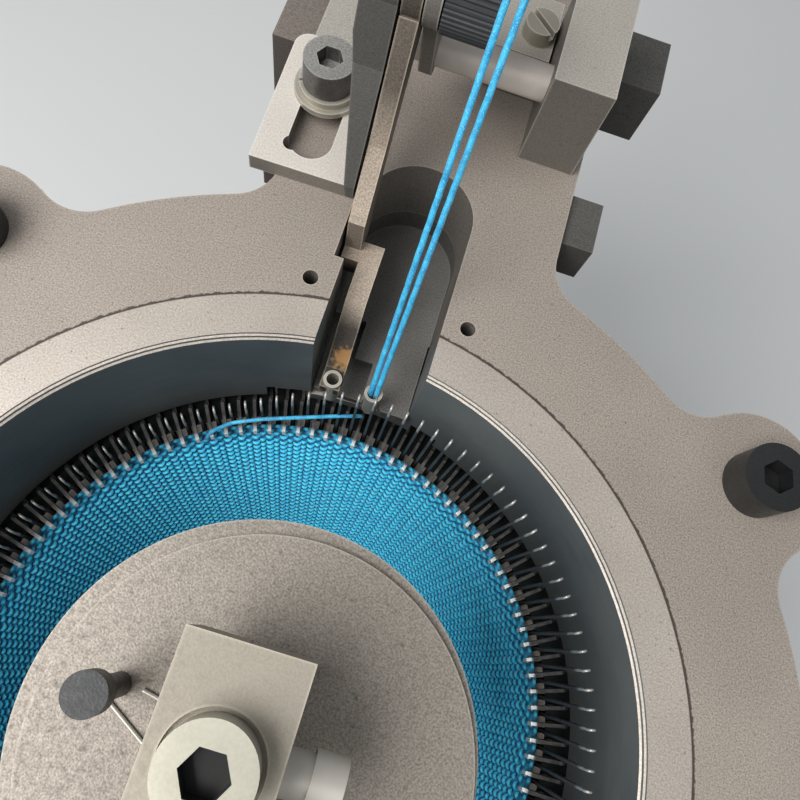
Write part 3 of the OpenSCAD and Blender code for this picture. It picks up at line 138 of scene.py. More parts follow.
class Shader:
    """A Principled material that is built up from procedural nodes."""

    def __init__(self, name, rough, metallic):
        self.material = bpy.data.materials.new(name)
        self.material.use_nodes = True
        self.tree = self.material.node_tree
        self.main = self.tree.nodes["Principled BSDF"]
        self.main.inputs["Roughness"].default_value = rough
        self.main.inputs["Metallic"].default_value = metallic
        self.place = self.node("TexCoord").outputs["Object"]

    def node(self, kind, **inputs):
        """A node with some inputs set, whose names have _ for a space."""
        made = self.tree.nodes.new("ShaderNode" + kind)
        for name, value in inputs.items():
            self.put(made.inputs[name.replace("_", " ")], value)
        return made

    def put(self, socket, value):
        """Links the socket to another one, or gives it a fixed value."""
        if isinstance(value, bpy.types.NodeSocket):
            self.tree.links.new(value, socket)
        else:
            socket.default_value = value

    def noise(self, scale, detail=3.0, stretch=None):
        place = self.place
        if stretch:
            place = self.node("Mapping", Vector=place, Scale=stretch).outputs["Vector"]
        return self.node("TexNoise", Vector=place, Scale=scale, Detail=detail).outputs["Fac"]

    def spread(self, value, low, high, start=0.0, end=1.0):
        """value from low to high, mapped to start to end."""
        made = self.node("MapRange")
        for index, x in enumerate((value, low, high, start, end)):
            self.put(made.inputs[index], x)
        return made.outputs[0]

    def mix(self, share, first, second, blend="MIX"):
        made = self.tree.nodes.new("ShaderNodeMix")
        made.data_type = "RGBA"
        made.blend_type = blend
        self.put(made.inputs[MIX_SHARE], share)
        self.put(made.inputs[MIX_FIRST], first)
        self.put(made.inputs[MIX_SECOND], second)
        return made.outputs[MIX_RESULT]

    def shaded(self, colour, share):
        """The colour times a share, which may be above 1."""
        return self.mix(1.0, colour, share, "MULTIPLY")

    def stained(self, colour, dark, scale, low, high, detail=3.0):
        """One sRGB colour with stains of a second."""
        return self.mix(self.spread(self.noise(scale, detail), low, high), linear(*colour), linear(*dark))

    def maths(self, operation, first, second=0.0):
        made = self.tree.nodes.new("ShaderNodeMath")
        made.operation = operation
        self.put(made.inputs[0], first)
        self.put(made.inputs[1], second)
        return made.outputs[0]

    def vector_maths(self, operation, *vectors):
        """A vector operation whose result is a number."""
        made = self.tree.nodes.new("ShaderNodeVectorMath")
        made.operation = operation
        for index, vector in enumerate(vectors):
            self.put(made.inputs[index], vector)
        return made.outputs["Value"]

    def height(self):
        return self.node("SeparateXYZ", Vector=self.place).outputs["Z"]

    def radius(self, x=0.0, y=0.0):
        """Distance from a vertical axis, by default the cylinder's."""
        flat = self.node("Mapping", Vector=self.place, Location=(-x, -y, 0), Scale=(1, 1, 0))
        return self.vector_maths("LENGTH", flat.outputs["Vector"])

    def ragged(self, value, scale, depth):
        """A distance with its border moved in and out by up to the depth."""
        return self.maths("ADD", value, self.spread(self.noise(scale), *MIDDLE_BAND, -depth, depth))

    def near(self, point, reach):
        """1 at a point, fading raggedly to 0 at its reach."""
        away = self.ragged(self.vector_maths("DISTANCE", self.place, point), 900, 0.3 * reach)
        return self.spread(away, 0.5 * reach, reach, 1.0, 0.0)

    def faces_up(self, level=0.75):
        """1 on faces that look up, 0 on walls."""
        normal = self.node("NewGeometry").outputs["Normal"]
        z = self.node("SeparateXYZ", Vector=normal).outputs["Z"]
        return self.spread(z, level, level + UP_FADE)

    def edges_worn_and_highlit(self, body, share, bright):
        """The body with a share of a bright colour along its sharp edges: wear and a painted highlight."""
        rounded_normal = self.node("Bevel", Radius=BRIGHT_EDGE_RADIUS).outputs["Normal"]
        cosine = self.vector_maths("DOT_PRODUCT", rounded_normal, self.node("NewGeometry").outputs["Normal"])
        return self.mix(self.maths("MULTIPLY", self.spread(cosine, *EDGE_COSINES), share), body, bright)

    def bump(self, height, depth, strength=0.6):
        made = self.node("Bump", Height=height, Distance=depth, Strength=strength)
        self.put(self.main.inputs["Normal"], made.outputs["Normal"])

    def colour(self, value):
        self.put(self.main.inputs["Base Color"], value)

    def roughness(self, value, start, end):
        """Roughness from start to end, by a noise value."""
        self.put(self.main.inputs["Roughness"], self.spread(value, *MIDDLE_BAND, start, end))


def metal(name, colour, dark, rough=0.5, metallic=0.3, grain=2600, speckle=0.3, depth=0.08, blotch=24,
          painted_wall_shade=None, up=0.75, edge_wear_and_highlight=0.0, seam=None, heights=None, rust=None):
    """Metal with dense light and dark grain and faint stains. Walls may be darker with painted shade and a
    seam at a radius darker, its edges are lighter by a share, for wear and a painted highlight, it has dark
    painted shade below the first of two levels and dim painted shade above the second, and it has a tan spot
    at a point."""
    s = Shader(name, rough, metallic)
    fine = s.noise(grain, 2.0)
    pits = s.noise(grain / 3)
    body = s.stained(colour, dark, blotch, 0.3, 0.8)
    # Faces that don't look up get a darker colour: painted shade
    if painted_wall_shade:
        body = s.mix(s.faces_up(up), linear(*painted_wall_shade), body)
    body = s.shaded(body, s.spread(fine, *GRAIN_BAND, 1 - speckle, 1 + speckle))
    body = s.shaded(body, s.spread(pits, *PIT_BAND, 1.0, 1 - speckle))
    if heights:
        low, high = heights
        # Painted shade deep in the slot and high up beside the lever shaft
        body = s.shaded(body, s.spread(s.height(), low - 3 * MM, low + 1 * MM, DARK_SHARE, 1.0))
        body = s.shaded(body, s.spread(s.height(), high - 6 * MM, high + 6 * MM, 1.0, DIM_SHARE))
    if rust:
        body = s.mix(s.near(rust, RUST_REACH), body, linear(*RUST_COLOUR))
    if edge_wear_and_highlight:
        body = s.edges_worn_and_highlit(body, edge_wear_and_highlight, linear(*[min(255, c * 1.25) for c in colour]))
    if seam:
        border = s.ragged(s.radius(), 700, SEAM_HALF)
        share = s.spread(border, seam + SEAM_HALF, seam + 2 * SEAM_HALF, 0.9, 0.0)
        body = s.mix(share, body, linear(*SEAM_COLOUR))
    s.colour(body)
    s.roughness(pits, rough - 0.06, rough + 0.08)
    s.bump(fine, depth * MM)
    return s.material


def socket_screws(name, colour, dark, axes, top):
    """Bright screws with painted shade in the socket at each axis, below the height of their heads."""
    s = Shader(name, 0.3, 0.45)
    fine = s.noise(1800)
    body = s.shaded(s.stained(colour, dark, 60, *MIDDLE_BAND), s.spread(fine, *MIDDLE_BAND, 0.95, 1.05))
    below = s.spread(s.height(), top - 0.8 * MM, top - 0.2 * MM, 1.0, 0.0)
    for axis in axes:
        inside = s.spread(s.radius(*axis), SOCKET_R, SOCKET_R + 0.3 * MM, 1.0, 0.0)
        body = s.mix(s.maths("MULTIPLY", inside, below), body, linear(*SOCKET_SHADE))
    s.colour(body)
    s.bump(fine, 0.02 * MM, 0.3)
    return s.material


def turned(name, colour, dark, rough=0.32, metallic=0.85, lines=2500, edge_wear_and_highlight=0.0):
    """Machined metal with fine tool marks along Z, its edges lighter by a share, for wear and a painted
    highlight.
    """
    s = Shader(name, rough, metallic)
    marks = s.noise(lines, 2.0, stretch=(0.06, 0.06, 1.0))
    body = s.stained(colour, dark, 45, 0.35, 0.7, detail=4.0)
    if edge_wear_and_highlight:
        body = s.edges_worn_and_highlit(body, edge_wear_and_highlight, linear(*BRIGHT_EDGE_STEEL))
    s.colour(body)
    s.roughness(marks, rough - 0.06, rough + 0.1)
    s.bump(marks, 0.03 * MM, 0.35)
    return s.material


def plastic(name, colour, dark, rough):
    """Smooth plastic or paint with faint stains."""
    s = Shader(name, rough, 0.0)
    fine = s.noise(1400)
    s.colour(s.stained(colour, dark, 60, *MIDDLE_BAND))
    s.roughness(fine, rough - 0.05, rough + 0.1)
    s.bump(fine, 0.05 * MM, 0.4)
    return s.material


def yarn(name, colour, dark, fibre_highlight, gaps=False):
    """Twisted synthetic yarn: fibres with light flecks of painted highlight, soft changes of tone and a low
    sheen.
    With gaps, a knitted pattern is drawn on the surface, for the fabric behind the loops, with painted shade
    in the gaps."""
    s = Shader(name, 0.5, 0.0)
    fibres = s.noise(3600)
    body = s.stained(dark, colour, 420, 0.35, 0.65, detail=2.0)
    # Light flecks along the fibres: painted highlight
    body = s.mix(s.spread(fibres, 0.54, 0.7, 0.0, 0.6), body, linear(*fibre_highlight))
    if gaps:
        split = s.node("SeparateXYZ", Vector=s.place).outputs
        wales = s.maths("MULTIPLY", s.maths("ARCTAN2", split["Y"], split["X"]), NEEDLES)
        courses = s.maths("MULTIPLY", split["Z"], 2 * math.pi / COURSE)
        bricks = s.maths("MULTIPLY", s.maths("SINE", wales), s.maths("SINE", courses))
        # Dark gaps between the loops: painted shade
        body = s.mix(s.spread(bricks, -0.3, 0.5), linear(*KNIT_GAP_SHADE), body)
        s.bump(bricks, 0.4 * MM, 0.6)
    else:
        s.bump(fibres, 0.08 * MM, 0.5)
    s.colour(body)
    s.main.inputs["Sheen Weight"].default_value = 0.25
    s.main.inputs["Sheen Roughness"].default_value = 0.4
    return s.material


def bore_steel():
    """Bright machined top face with a dark outer seam; grey bore sides, darker with painted shade, with faint
    turning marks.
    """
    s = Shader("bore_steel", 0.45, 0.4)
    speck = s.noise(2400, 2.0)
    marks = s.noise(900, 2.0, stretch=(0.05, 0.05, 1.0))
    top = s.stained((186, 176, 165), (170, 160, 149), 30, 0.3, 0.75)
    top = s.shaded(top, s.spread(speck, *GRAIN_BAND, 0.78, 1.2))
    top = s.shaded(top, s.spread(s.noise(800), 0.66, 0.74, 1.0, 0.55))
    top = s.mix(s.spread(s.radius(), RING_R - 0.4 * MM, RING_R - 0.1 * MM), top, linear(70, 58, 50))
    # The bore's sides get this darker grey: painted shade
    painted_wall_shade = s.stained((124, 126, 124), (100, 105, 106), 30, 0.35, 0.7)
    s.colour(s.mix(s.faces_up(), painted_wall_shade, top))
    s.roughness(marks, 0.44, 0.56)
    s.bump(speck, 0.04 * MM, 0.4)
    return s.material


def sinker_steel():
    """Grey sinkers with bright noses over the fabric, for wear and a painted highlight."""
    s = Shader("sinker_steel", 0.36, 0.4)
    # The bright nose is wear with a painted highlight
    nose = s.spread(s.radius(), *SINKER_NOSE, 1.0, 0.0)
    s.colour(s.mix(nose, s.stained((98, 97, 94), (60, 60, 60), 500, 0.35, 0.7), linear(206, 204, 198)))
    s.roughness(s.noise(1500), 0.28, 0.42)
    s.bump(s.noise(2600), 0.04 * MM, 0.3)
    return s.material


# In these tables, colours given for walls are painted shade, and edge shares are wear with a painted
# highlight
MATERIALS = {
    "cast_grey": metal("cast_grey", (160, 149, 138), (142, 132, 122), 0.55, 0.3, painted_wall_shade=(116, 110, 103),
                       edge_wear_and_highlight=0.5),
    "base_paint": plastic("base_paint", (178, 180, 178), (160, 163, 160), 0.5),
    "bore_steel": bore_steel(),
    "turned_steel": turned("turned_steel", (168, 160, 151), (138, 130, 122), 0.45, 0.3, edge_wear_and_highlight=0.4),
    "dark_steel": metal("dark_steel", (96, 93, 88), (76, 74, 70), 0.48, 0.3, painted_wall_shade=(84, 82, 79), edge_wear_and_highlight=0.5),
    "black_screws": metal("black_screws", (50, 50, 50), (36, 36, 36), 0.4, 0.4, speckle=0.2, depth=0.04),
    "needle_steel": turned("needle_steel", (214, 212, 206), (158, 156, 150), 0.34, 0.5, 3000),
    "sinker_steel": sinker_steel(),
    "bronze": turned("bronze", (176, 140, 84), (120, 92, 52), 0.36, 0.9),
    "plate_steel": metal("plate_steel", (184, 178, 168), (166, 159, 148), 0.46, 0.3, speckle=0.2, depth=0.05,
                         painted_wall_shade=(112, 107, 100), edge_wear_and_highlight=0.5),
    "zinc": turned("zinc", (184, 178, 165), (150, 144, 131), 0.36, 0.4, edge_wear_and_highlight=0.8),
    "arm_alloy": metal("arm_alloy", (152, 144, 130), (140, 132, 119), 0.5, 0.3, speckle=0.06, depth=0.03,
                       edge_wear_and_highlight=0.7),
    "black_plastic": plastic("black_plastic", (54, 56, 58), (40, 42, 44), 0.5),
    "ceramic": plastic("ceramic", (234, 228, 212), (216, 208, 190), 0.2),
    "yarn_blue": yarn("yarn_blue", (54, 180, 222), (26, 142, 190), (178, 230, 244)),
    "knit_blue": yarn("knit_blue", (66, 220, 252), (40, 190, 234), (164, 234, 250)),
}

# Nodes whose finish differs from the rest of their slot

ARM_COLUMN_R = 13 * MM
ARM_SCREW_AXES = ((-2.1 * MM, -0.5 * MM), (-2.1 * MM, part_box("arm_column")[0][1] + ARM_COLUMN_R))

# Here too, colours given for walls are painted shade, and edge shares are wear with a painted highlight
NODE_MATERIALS = {
    "head_casting": metal("head_cast_grey", (162, 151, 140), (146, 136, 126), 0.55, 0.3, painted_wall_shade=(116, 110, 103),
                          edge_wear_and_highlight=0.5, seam=RING_R + 0.05 * MM),
    "hold_down_disc": metal("disc_grey", (150, 141, 130), (126, 118, 109), 0.5, 0.4, blotch=14, edge_wear_and_highlight=0.6),
    "carrier_lever": metal("lever_tan", (172, 157, 140), (146, 132, 117), 0.6, 0.15, blotch=60,
                           painted_wall_shade=(124, 112, 99), up=0.35, edge_wear_and_highlight=0.5,
                           heights=(HEAD_TOP - 10 * MM, HEAD_TOP + 26 * MM),
                           rust=from_head(-7.2, 86.2, -18.4)),
    # A lighter copy of the plate steel: painted light, where the plate is strongly lit
    "clamp_plate": metal("clamp_plate_painted_light", (216, 208, 198), (200, 192, 182), 0.46, 0.2, speckle=0.15, depth=0.05,
                         painted_wall_shade=(120, 114, 106), edge_wear_and_highlight=0.4),
    "feeder_plate": metal("feeder_grey", (128, 125, 120), (100, 98, 94), 0.45, 0.3, blotch=60,
                          painted_wall_shade=(96, 94, 90), edge_wear_and_highlight=0.5),
    # A lighter copy of the turned steel: painted light against the shadow that falls on the rod
    "cross_rod": turned("rod_painted_light", (212, 202, 192), (180, 170, 160), 0.45, 0.2),
    "stop_lever": metal("lever_dark", (104, 100, 94), (76, 73, 69), 0.45, 0.25, speckle=0.15, blotch=90,
                        painted_wall_shade=(80, 77, 73), edge_wear_and_highlight=0.5),
    "rear_block": metal("block_brown", (126, 116, 108), (106, 97, 90), 0.55, 0.2, painted_wall_shade=(92, 85, 79),
                        edge_wear_and_highlight=0.4),
    # Near black all over, its sides darker still with painted shade
    "sinker_ring": metal("near_black_steel", (30, 32, 33), (18, 20, 21), 0.4, 0.4, speckle=0.2, painted_wall_shade=(24, 25, 26)),
    "clamp_screw": metal("worn_screw_steel", (158, 155, 149), (132, 129, 124), 0.4, 0.4, painted_wall_shade=(78, 76, 73),
                         edge_wear_and_highlight=0.5),
    "arm_screws": socket_screws("nickel", (192, 188, 172), (166, 162, 146), ARM_SCREW_AXES,
                                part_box("arm_screws")[1][2]),
    "arm_clamp_screw": turned("grey_screw_steel", (196, 190, 180), (160, 154, 145), 0.45, 0.3),
}

# Width in millimetres of the softened edges of each node

SOFTEN = {
    "head_casting": 0.5, "bore_ring": 0.25, "disc_arm": 0.8, "hold_down_disc": 0.3, "clamp_plate": 0.5,
    "carrier_lever": 0.3, "stop_lever": 0.3, "lever_bracket": 0.3, "rear_post": 0.8, "screw_block": 0.6,
    "slotted_screw": 0.4, "clamp_screw": 0.4, "arm_screws": 0.5, "clamp_washer": 0.4, "feeder_plate": 0.3,
    "base_plate": 1.0, "bed_plate": 0.6, "side_brackets": 0.8, "arm_column": 0.6, "knurled_sleeve": 0.2,
    "rear_block": 1.0,
}
SOFTEN_ANGLE = 50


def soften(piece, width, angle):
    """Rounds the edges that turn by more than an angle in degrees."""
    edge = piece.modifiers.new("edge", "BEVEL")
    edge.width = width
    edge.segments = 2
    edge.limit_method = "ANGLE"
    edge.angle_limit = math.radians(angle)


def dress_cad():
    """Every carried-over node gets its own material or its slot's, and softened edges."""
    for part in frame["record"]["subparts"]:
        name = part["node"]
        piece = nodes[name]
        piece.data.materials.clear()
        piece.data.materials.append(NODE_MATERIALS.get(name, MATERIALS[part["material_slot"]]))
        if name in SOFTEN:
            soften(piece, SOFTEN[name] * MM, SOFTEN_ANGLE)


# Mesh helpers

# Depth of the grooves between a yarn's plies as a share of its radius, and how far from upright, as a
# sine, a path still counts as upright
PLY_DEPTH = 0.1
UPRIGHT = 0.05


def make_piece(name, points, faces, slot, smooth=True, material=None):
    """A mesh piece with a slot's finish, and the slot's material unless it has its own."""
    mesh = bpy.data.meshes.new(name)
    mesh.from_pydata([tuple(p) for p in points], [], [tuple(f) for f in faces])
    mesh.polygons.foreach_set("use_smooth", [smooth] * len(mesh.polygons))
    mesh.materials.append(material or MATERIALS[slot])
    mesh.update()
    piece = bpy.data.objects.new(name, mesh)
    bpy.context.collection.objects.link(piece)
    return piece


def tube(path, radius, sides, closed=False, lobes=0, twist=0.0):
    """Points and faces of a tube along path; radius is one number or one for each point.
    With lobes, its section has that many plies, which turn by twist radians for each metre."""
    path = np.asarray(path, float)
    count = len(path)
    radius = np.broadcast_to(radius, count)
    ahead = np.roll(path, -1, 0) - np.roll(path, 1, 0)
    if not closed:
        ahead[0] = path[1] - path[0]
        ahead[-1] = path[-1] - path[-2]
    ahead /= np.linalg.norm(ahead, axis=1)[:, None]
    side = np.cross(ahead, (0.0, 0.0, 1.0))
    upright = np.linalg.norm(side, axis=1) < UPRIGHT
    side[upright] = np.cross(ahead[upright], (0.0, 1.0, 0.0))
    side /= np.linalg.norm(side, axis=1)[:, None]
    top = np.cross(side, ahead)
    along = np.concatenate([[0], np.cumsum(np.linalg.norm(np.diff(path, axis=0), axis=1))])
    angle = np.arange(sides) * 2 * math.pi / sides
    section = np.ones((count, sides))
    if lobes:
        ply = angle[None] * lobes / 2 - along[:, None] * twist
        section = 1 - PLY_DEPTH + PLY_DEPTH * np.abs(np.cos(ply))
    reach = (radius[:, None] * section)[..., None]
    ring = np.cos(angle)[None, :, None] * side[:, None] + np.sin(angle)[None, :, None] * top[:, None]
    points = (path[:, None] + reach * ring).reshape(-1, 3)
    rows = count if closed else count - 1
    k, i = np.meshgrid(np.arange(rows), np.arange(sides), indexing="ij")
    j, n = (i + 1) % sides, (k + 1) % count
    faces = np.stack([k * sides + i, k * sides + j, n * sides + j, n * sides + i], -1).reshape(-1, 4).tolist()
    if not closed:
        faces.append(list(range(sides))[::-1])
        faces.append([(count - 1) * sides + s for s in range(sides)])
    return points, faces


def bar(r0, r1, half, z0, z1):
    """A flat bar in the plane of a needle."""
    points = [(r, y, z) for z in (z0, z1) for r, y in ((r0, -half), (r1, -half), (r1, half), (r0, half))]
    faces = [(3, 2, 1, 0), (4, 5, 6, 7), (0, 1, 5, 4), (1, 2, 6, 5), (2, 3, 7, 6), (3, 0, 4, 7)]
    return np.array(points), [list(f) for f in faces]


def joined(parts):
    points, faces, first = [], [], 0
    for p, f in parts:
        points.append(p)
        faces += [[v + first for v in face] for face in f]
        first += len(p)
    return np.concatenate(points), faces


# Yarn strands, on the route that the solids follow. Twists are in radians for each metre.

YARN_R = 0.75 * MM
YARN_SIDES = 12
YARN_PLIES = 3
YARN_TWIST = 550
YARN_STEP = 1 * MM
STRAND_BEND = 1.5 * MM

# The guide eyes and the feeder tube's mouth; heights are above the head's top face
GUIDE = Vector((7.4, 174.5, 132)) * MM
GUIDE_DX = 2.2 * MM
TENSION_Z = GUIDE.z + 14 * MM
FEEDER_TUBE = Vector((3.1, 79.95, -20)) * MM
TUBE_H = 12 * MM
STRAND_DX = 0.8 * MM


def strand_route(side):
    """Corner points of one strand, the same as in the solids: under the tension discs, in the guide eye,
    in the feeder tube's mouth and by its lower end."""
    x = GUIDE.x + side * GUIDE_DX
    low = FEEDER_TUBE.x + side * STRAND_DX
    lift = Vector((0, 0, HEAD_TOP))
    return [Vector(p) + lift for p in (
        (x, GUIDE.y, TENSION_Z - 3 * MM),
        (x, GUIDE.y, GUIDE.z - 4 * MM),
        (low, FEEDER_TUBE.y + 0.2 * MM, FEEDER_TUBE.z + 0.6 * MM),
        (low, FEEDER_TUBE.y, FEEDER_TUBE.z - TUBE_H + 1 * MM))]


def rounded(corners, reach, step):
    """Points along corners, with each corner rounded over reach and a point every step."""
    points = [corners[0]]
    for before, corner, after in zip(corners, corners[1:], corners[2:]):
        a = corner + (before - corner).normalized() * reach
        b = corner + (after - corner).normalized() * reach
        points += [a.lerp(corner, t).lerp(corner.lerp(b, t), t) for t in (0, 0.2, 0.4, 0.6, 0.8, 1)]
    points.append(corners[-1])
    fine = [points[0]]
    for a, b in zip(points, points[1:]):
        count = max(1, round((b - a).length / step))
        fine += [a.lerp(b, (i + 1) / count) for i in range(count)]
    return fine


def make_yarn():
    for number, side in enumerate((-1, 1), 1):
        path = rounded(strand_route(side), STRAND_BEND, YARN_STEP)
        points, faces = tube(path, YARN_R, YARN_SIDES, lobes=YARN_PLIES, twist=side * YARN_TWIST)
        piece = make_piece(f"yarn_strand_{number}", points, faces, "yarn_blue")
        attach(piece, "frame")
        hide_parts("yarn_strands")


# The laid yarn's route in millimetres, over the open hooks; heights are above the head's top face
LAID_ROUTE = ((2.1, 76.6, -31.6), (-3.5, 74.6, -31), (-13.4, 70.8, -31), (-23, 67.2, -31.4),
              (-30.5, 64, -32.6), (-35.6, 61.6, -38.4), (-37.8, 60.2, -45.2))
LAID_R = 0.55 * MM
LAID_SIDES = 10
LAID_TWIST = 700
LAID_BEND = 2 * MM


def make_laid_yarn():
    """The yarn that runs from the feeder tube along the open hooks and down into the fabric's edge."""
    path = rounded([from_head(*p) for p in LAID_ROUTE], LAID_BEND, YARN_STEP)
    points, faces = tube(path, LAID_R, LAID_SIDES, lobes=YARN_PLIES, twist=LAID_TWIST)
    piece = make_piece("laid_yarn", points, faces, "yarn_blue")
    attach(piece, "frame")


# Needles with hooks, cheeks and latches

TIP_RAISED = 12 * MM
TIP_LOWERED = 34 * MM

# Start and length in degrees of the stretch over which the needles go down, and up again
LOWERING = (84, 34)
RAISING = (205, 70)

HOOK_SIDES = 7
LATCH_SIDES = 6

# Reach beyond the needle circle, height from the tip and radius of the wire, in millimetres
HOOK = ((0.45, -6.4, 0.38), (0.4, -4, 0.36), (0.4, -2, 0.34), (0.5, -1.1, 0.34), (0.95, -0.45, 0.34),
        (1.6, -0.34, 0.33), (2.1, -0.8, 0.3), (2.3, -1.7, 0.25), (2.25, -2.7, 0.14))
LATCH = ((0.9, -7.4, 0.16), (1.2, -9, 0.16), (1.5, -11, 0.2), (1.85, -12.6, 0.3), (2.1, -13.5, 0.16))

# Stem, its thin upper part, the hook's foot and the butt: reach from and to, half width, and both heights
STEM = ((0, 1.2, 0.36, -70, -18), (0, 0.4, 0.32, -18, -6), (0.1, 1.0, 0.32, -6.6, -5.8),
        (1.2, 8.0, 0.42, -65, -59))
CHEEK = (0.1, 1.1, 0.1, -18, -6)
CHEEK_Y = 0.26


def ease(t):
    u = min(1.0, max(0.0, t))
    return u * u * (3 - 2 * u)


def tip_depth(a):
    """Depth of the needle tip at a degrees under the head's top face, as the solids have it."""
    lowered = ease((a - LOWERING[0]) / LOWERING[1]) * (1 - ease((a - RAISING[0]) / RAISING[1]))
    return TIP_RAISED + (TIP_LOWERED - TIP_RAISED) * lowered


def wire_shape(profile, sides):
    """A bent wire of one needle, its tip at z 0, reaching outward along +X."""
    reach, height, width = np.array(profile).T
    path = np.stack([NEEDLE_R / MM + reach, np.zeros(len(reach)), height], 1)
    points, faces = tube(path, width, sides)
    return points * MM, faces


def needle_bar(reach_from, reach_to, half, z0, z1):
    return bar(NEEDLE_R / MM + reach_from, NEEDLE_R / MM + reach_to, half, z0, z1)


def stem_shape():
    """Stem, cheeks and butt of one needle."""
    parts = [needle_bar(*piece) for piece in STEM]
    for side in (-1, 1):
        cheek, faces = needle_bar(*CHEEK)
        parts.append((cheek + (0, side * CHEEK_Y, 0), faces))
    points, faces = joined(parts)
    return points * MM, faces


def around(shape):
    """The shape at every needle's place and height."""
    points, faces = shape
    parts = []
    for i in range(NEEDLES):
        c, s = math.cos(i * PITCH), math.sin(i * PITCH)
        x, y, z = points.T
        z = z + HEAD_TOP - tip_depth(math.degrees(i * PITCH))
        parts.append((np.stack([x * c - y * s, x * s + y * c, z], 1), faces))
    return joined(parts)


def make_needles():
    # A darker copy of the needle steel for stems and latches: painted shade; the hooks keep the bright steel
    shaded_stem_steel = turned("shaded_stem_steel", (84, 80, 76), (48, 46, 44), 0.42, 0.2, 3000)
    for name, shape, node, smooth, material in (
            ("fine_needles", stem_shape(), "needles", False, shaded_stem_steel),
            ("fine_hooks", wire_shape(HOOK, HOOK_SIDES), "needles", True, None),
            ("fine_latches", wire_shape(LATCH, LATCH_SIDES), "needle_latches", True, shaded_stem_steel)):
        piece = make_piece(name, *around(shape), "needle_steel", smooth, material)
        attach(piece, "cylinder")
        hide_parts(node)


# Knitted tube: real loops where they show, over a backing shell that runs down through the base

# Radius and depth under the head's top face, from the needles down
KNIT_PROFILE = np.array([(73.3, 44.9), (71.2, 45.7), (69.4, 47.8), (67.9, 52), (64.6, 62), (59.5, 82),
                         (54.5, 102), (51, 124), (49, 160), (48, 234)]) * MM

# Length of the profile that has real loops, and the extra stretch of the fabric, which is reached
# over the first courses
SHOWN_LENGTH = 72 * MM
LOOP_YARN_R = 0.47 * MM
FIRST_COURSE = 1.1 * MM
STRETCH = 0.5
STRETCHED_COURSES = 18
LOOP_STEPS = 12
LOOP_SIDES = 5
LOOP_PIECES = 3

# A loop's sideways swing, its height as a share of the gap between courses, how flat its arcs are,
# and its lift off the backing and its thickness as shares of the yarn's radius
LOOP_SWING = (0.3, 0.42)
LOOP_RISE = 0.3
LOOP_FLATNESS = 0.12
LOOP_LIFT = (0.2, 1.1)
LOOP_THICKNESS = (0.74, 0.42)
SHELL_COLUMNS = 2 * NEEDLES
SHELL_RINGS = 90
NORMAL_REACH = 1.5 * MM
TINY = 1e-9


def profile_lengths():
    return np.linalg.norm(np.diff(KNIT_PROFILE, axis=0), axis=1)


def on_profile(length):
    """Radius, height and inward normal of the fabric at a length along its profile."""
    along = np.concatenate([[0], np.cumsum(profile_lengths())])
    radii, depths = KNIT_PROFILE.T
    before, after = length - NORMAL_REACH, length + NORMAL_REACH
    dr = np.interp(after, along, radii) - np.interp(before, along, radii)
    dz = np.interp(after, along, depths) - np.interp(before, along, depths)
    size = np.hypot(dr, dz) + TINY
    z = HEAD_TOP - np.interp(length, along, depths)
    return np.interp(length, along, radii), z, -dz / size, -dr / size


def course_place(number):
    """Length along the profile to a course: the fabric is stretched more and more over the first courses."""
    grown = min(number, STRETCHED_COURSES)
    grow = STRETCH * (grown * grown / (2 * STRETCHED_COURSES) + number - grown)
    return COURSE * (number + grow) + FIRST_COURSE


def course(number):
    """Path and thickness of the yarn of one course, seen from the reverse side: a long thick arc and a
    short one for each needle, in rows half a course apart, with thin legs sunk between them."""
    t = np.arange(NEEDLES * LOOP_STEPS) * 2 * math.pi / LOOP_STEPS
    twice = np.cos(2 * t)
    swing = LOOP_SWING[1] * np.sin(2 * t) - LOOP_SWING[0] * np.sin(t)
    angle = (t + swing) / (2 * math.pi) * PITCH
    gap = course_place(number + 1) - course_place(number)
    arc = (1 + LOOP_FLATNESS) * np.cos(t) - LOOP_FLATNESS * np.cos(3 * t)
    length = course_place(number) - LOOP_RISE * gap * arc
    radius, z, nr, nz = on_profile(np.maximum(length, 0))
    lift = LOOP_YARN_R * (LOOP_LIFT[0] + LOOP_LIFT[1] * twice)
    thickness = LOOP_YARN_R * (LOOP_THICKNESS[0] + LOOP_THICKNESS[1] * twice)
    r = radius + nr * lift
    return np.stack([r * np.cos(angle), r * np.sin(angle), z + nz * lift], 1), thickness


def knit_shell():
    """Points and faces of the fabric's backing, as rings from the needles down."""
    angle = np.arange(SHELL_COLUMNS) * 2 * math.pi / SHELL_COLUMNS
    radius, z, _, _ = on_profile(np.linspace(0, profile_lengths().sum(), SHELL_RINGS))
    points = np.stack([np.outer(radius, np.cos(angle)), np.outer(radius, np.sin(angle)),
                       np.repeat(z[:, None], SHELL_COLUMNS, 1)], -1).reshape(-1, 3)
    k, i = np.meshgrid(np.arange(SHELL_RINGS - 1), np.arange(SHELL_COLUMNS), indexing="ij")
    j, here, below = (i + 1) % SHELL_COLUMNS, k * SHELL_COLUMNS, (k + 1) * SHELL_COLUMNS
    return points, np.stack([here + i, here + j, below + j, below + i], -1).reshape(-1, 4).tolist()


def make_knit():
    # The backing is darker than the loops' yarn: painted shade behind and between the loops
    backing = yarn("knit_backing", (34, 150, 190), (20, 122, 162), (90, 180, 210), gaps=True)
    shell = make_piece("knit_backing", *knit_shell(), "knit_blue", material=backing)
    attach(shell, "cylinder")
    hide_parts("knit_tube")
    count = 1
    while course_place(count) < SHOWN_LENGTH:
        count += 1
    for number in range(LOOP_PIECES):
        courses = range(count * number // LOOP_PIECES, count * (number + 1) // LOOP_PIECES)
        parts = [tube(*course(c), LOOP_SIDES, closed=True) for c in courses]
        piece = make_piece(f"knit_loops_{number + 1}", *joined(parts), "knit_blue")
        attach(piece, "cylinder")
        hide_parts("knit_tube")


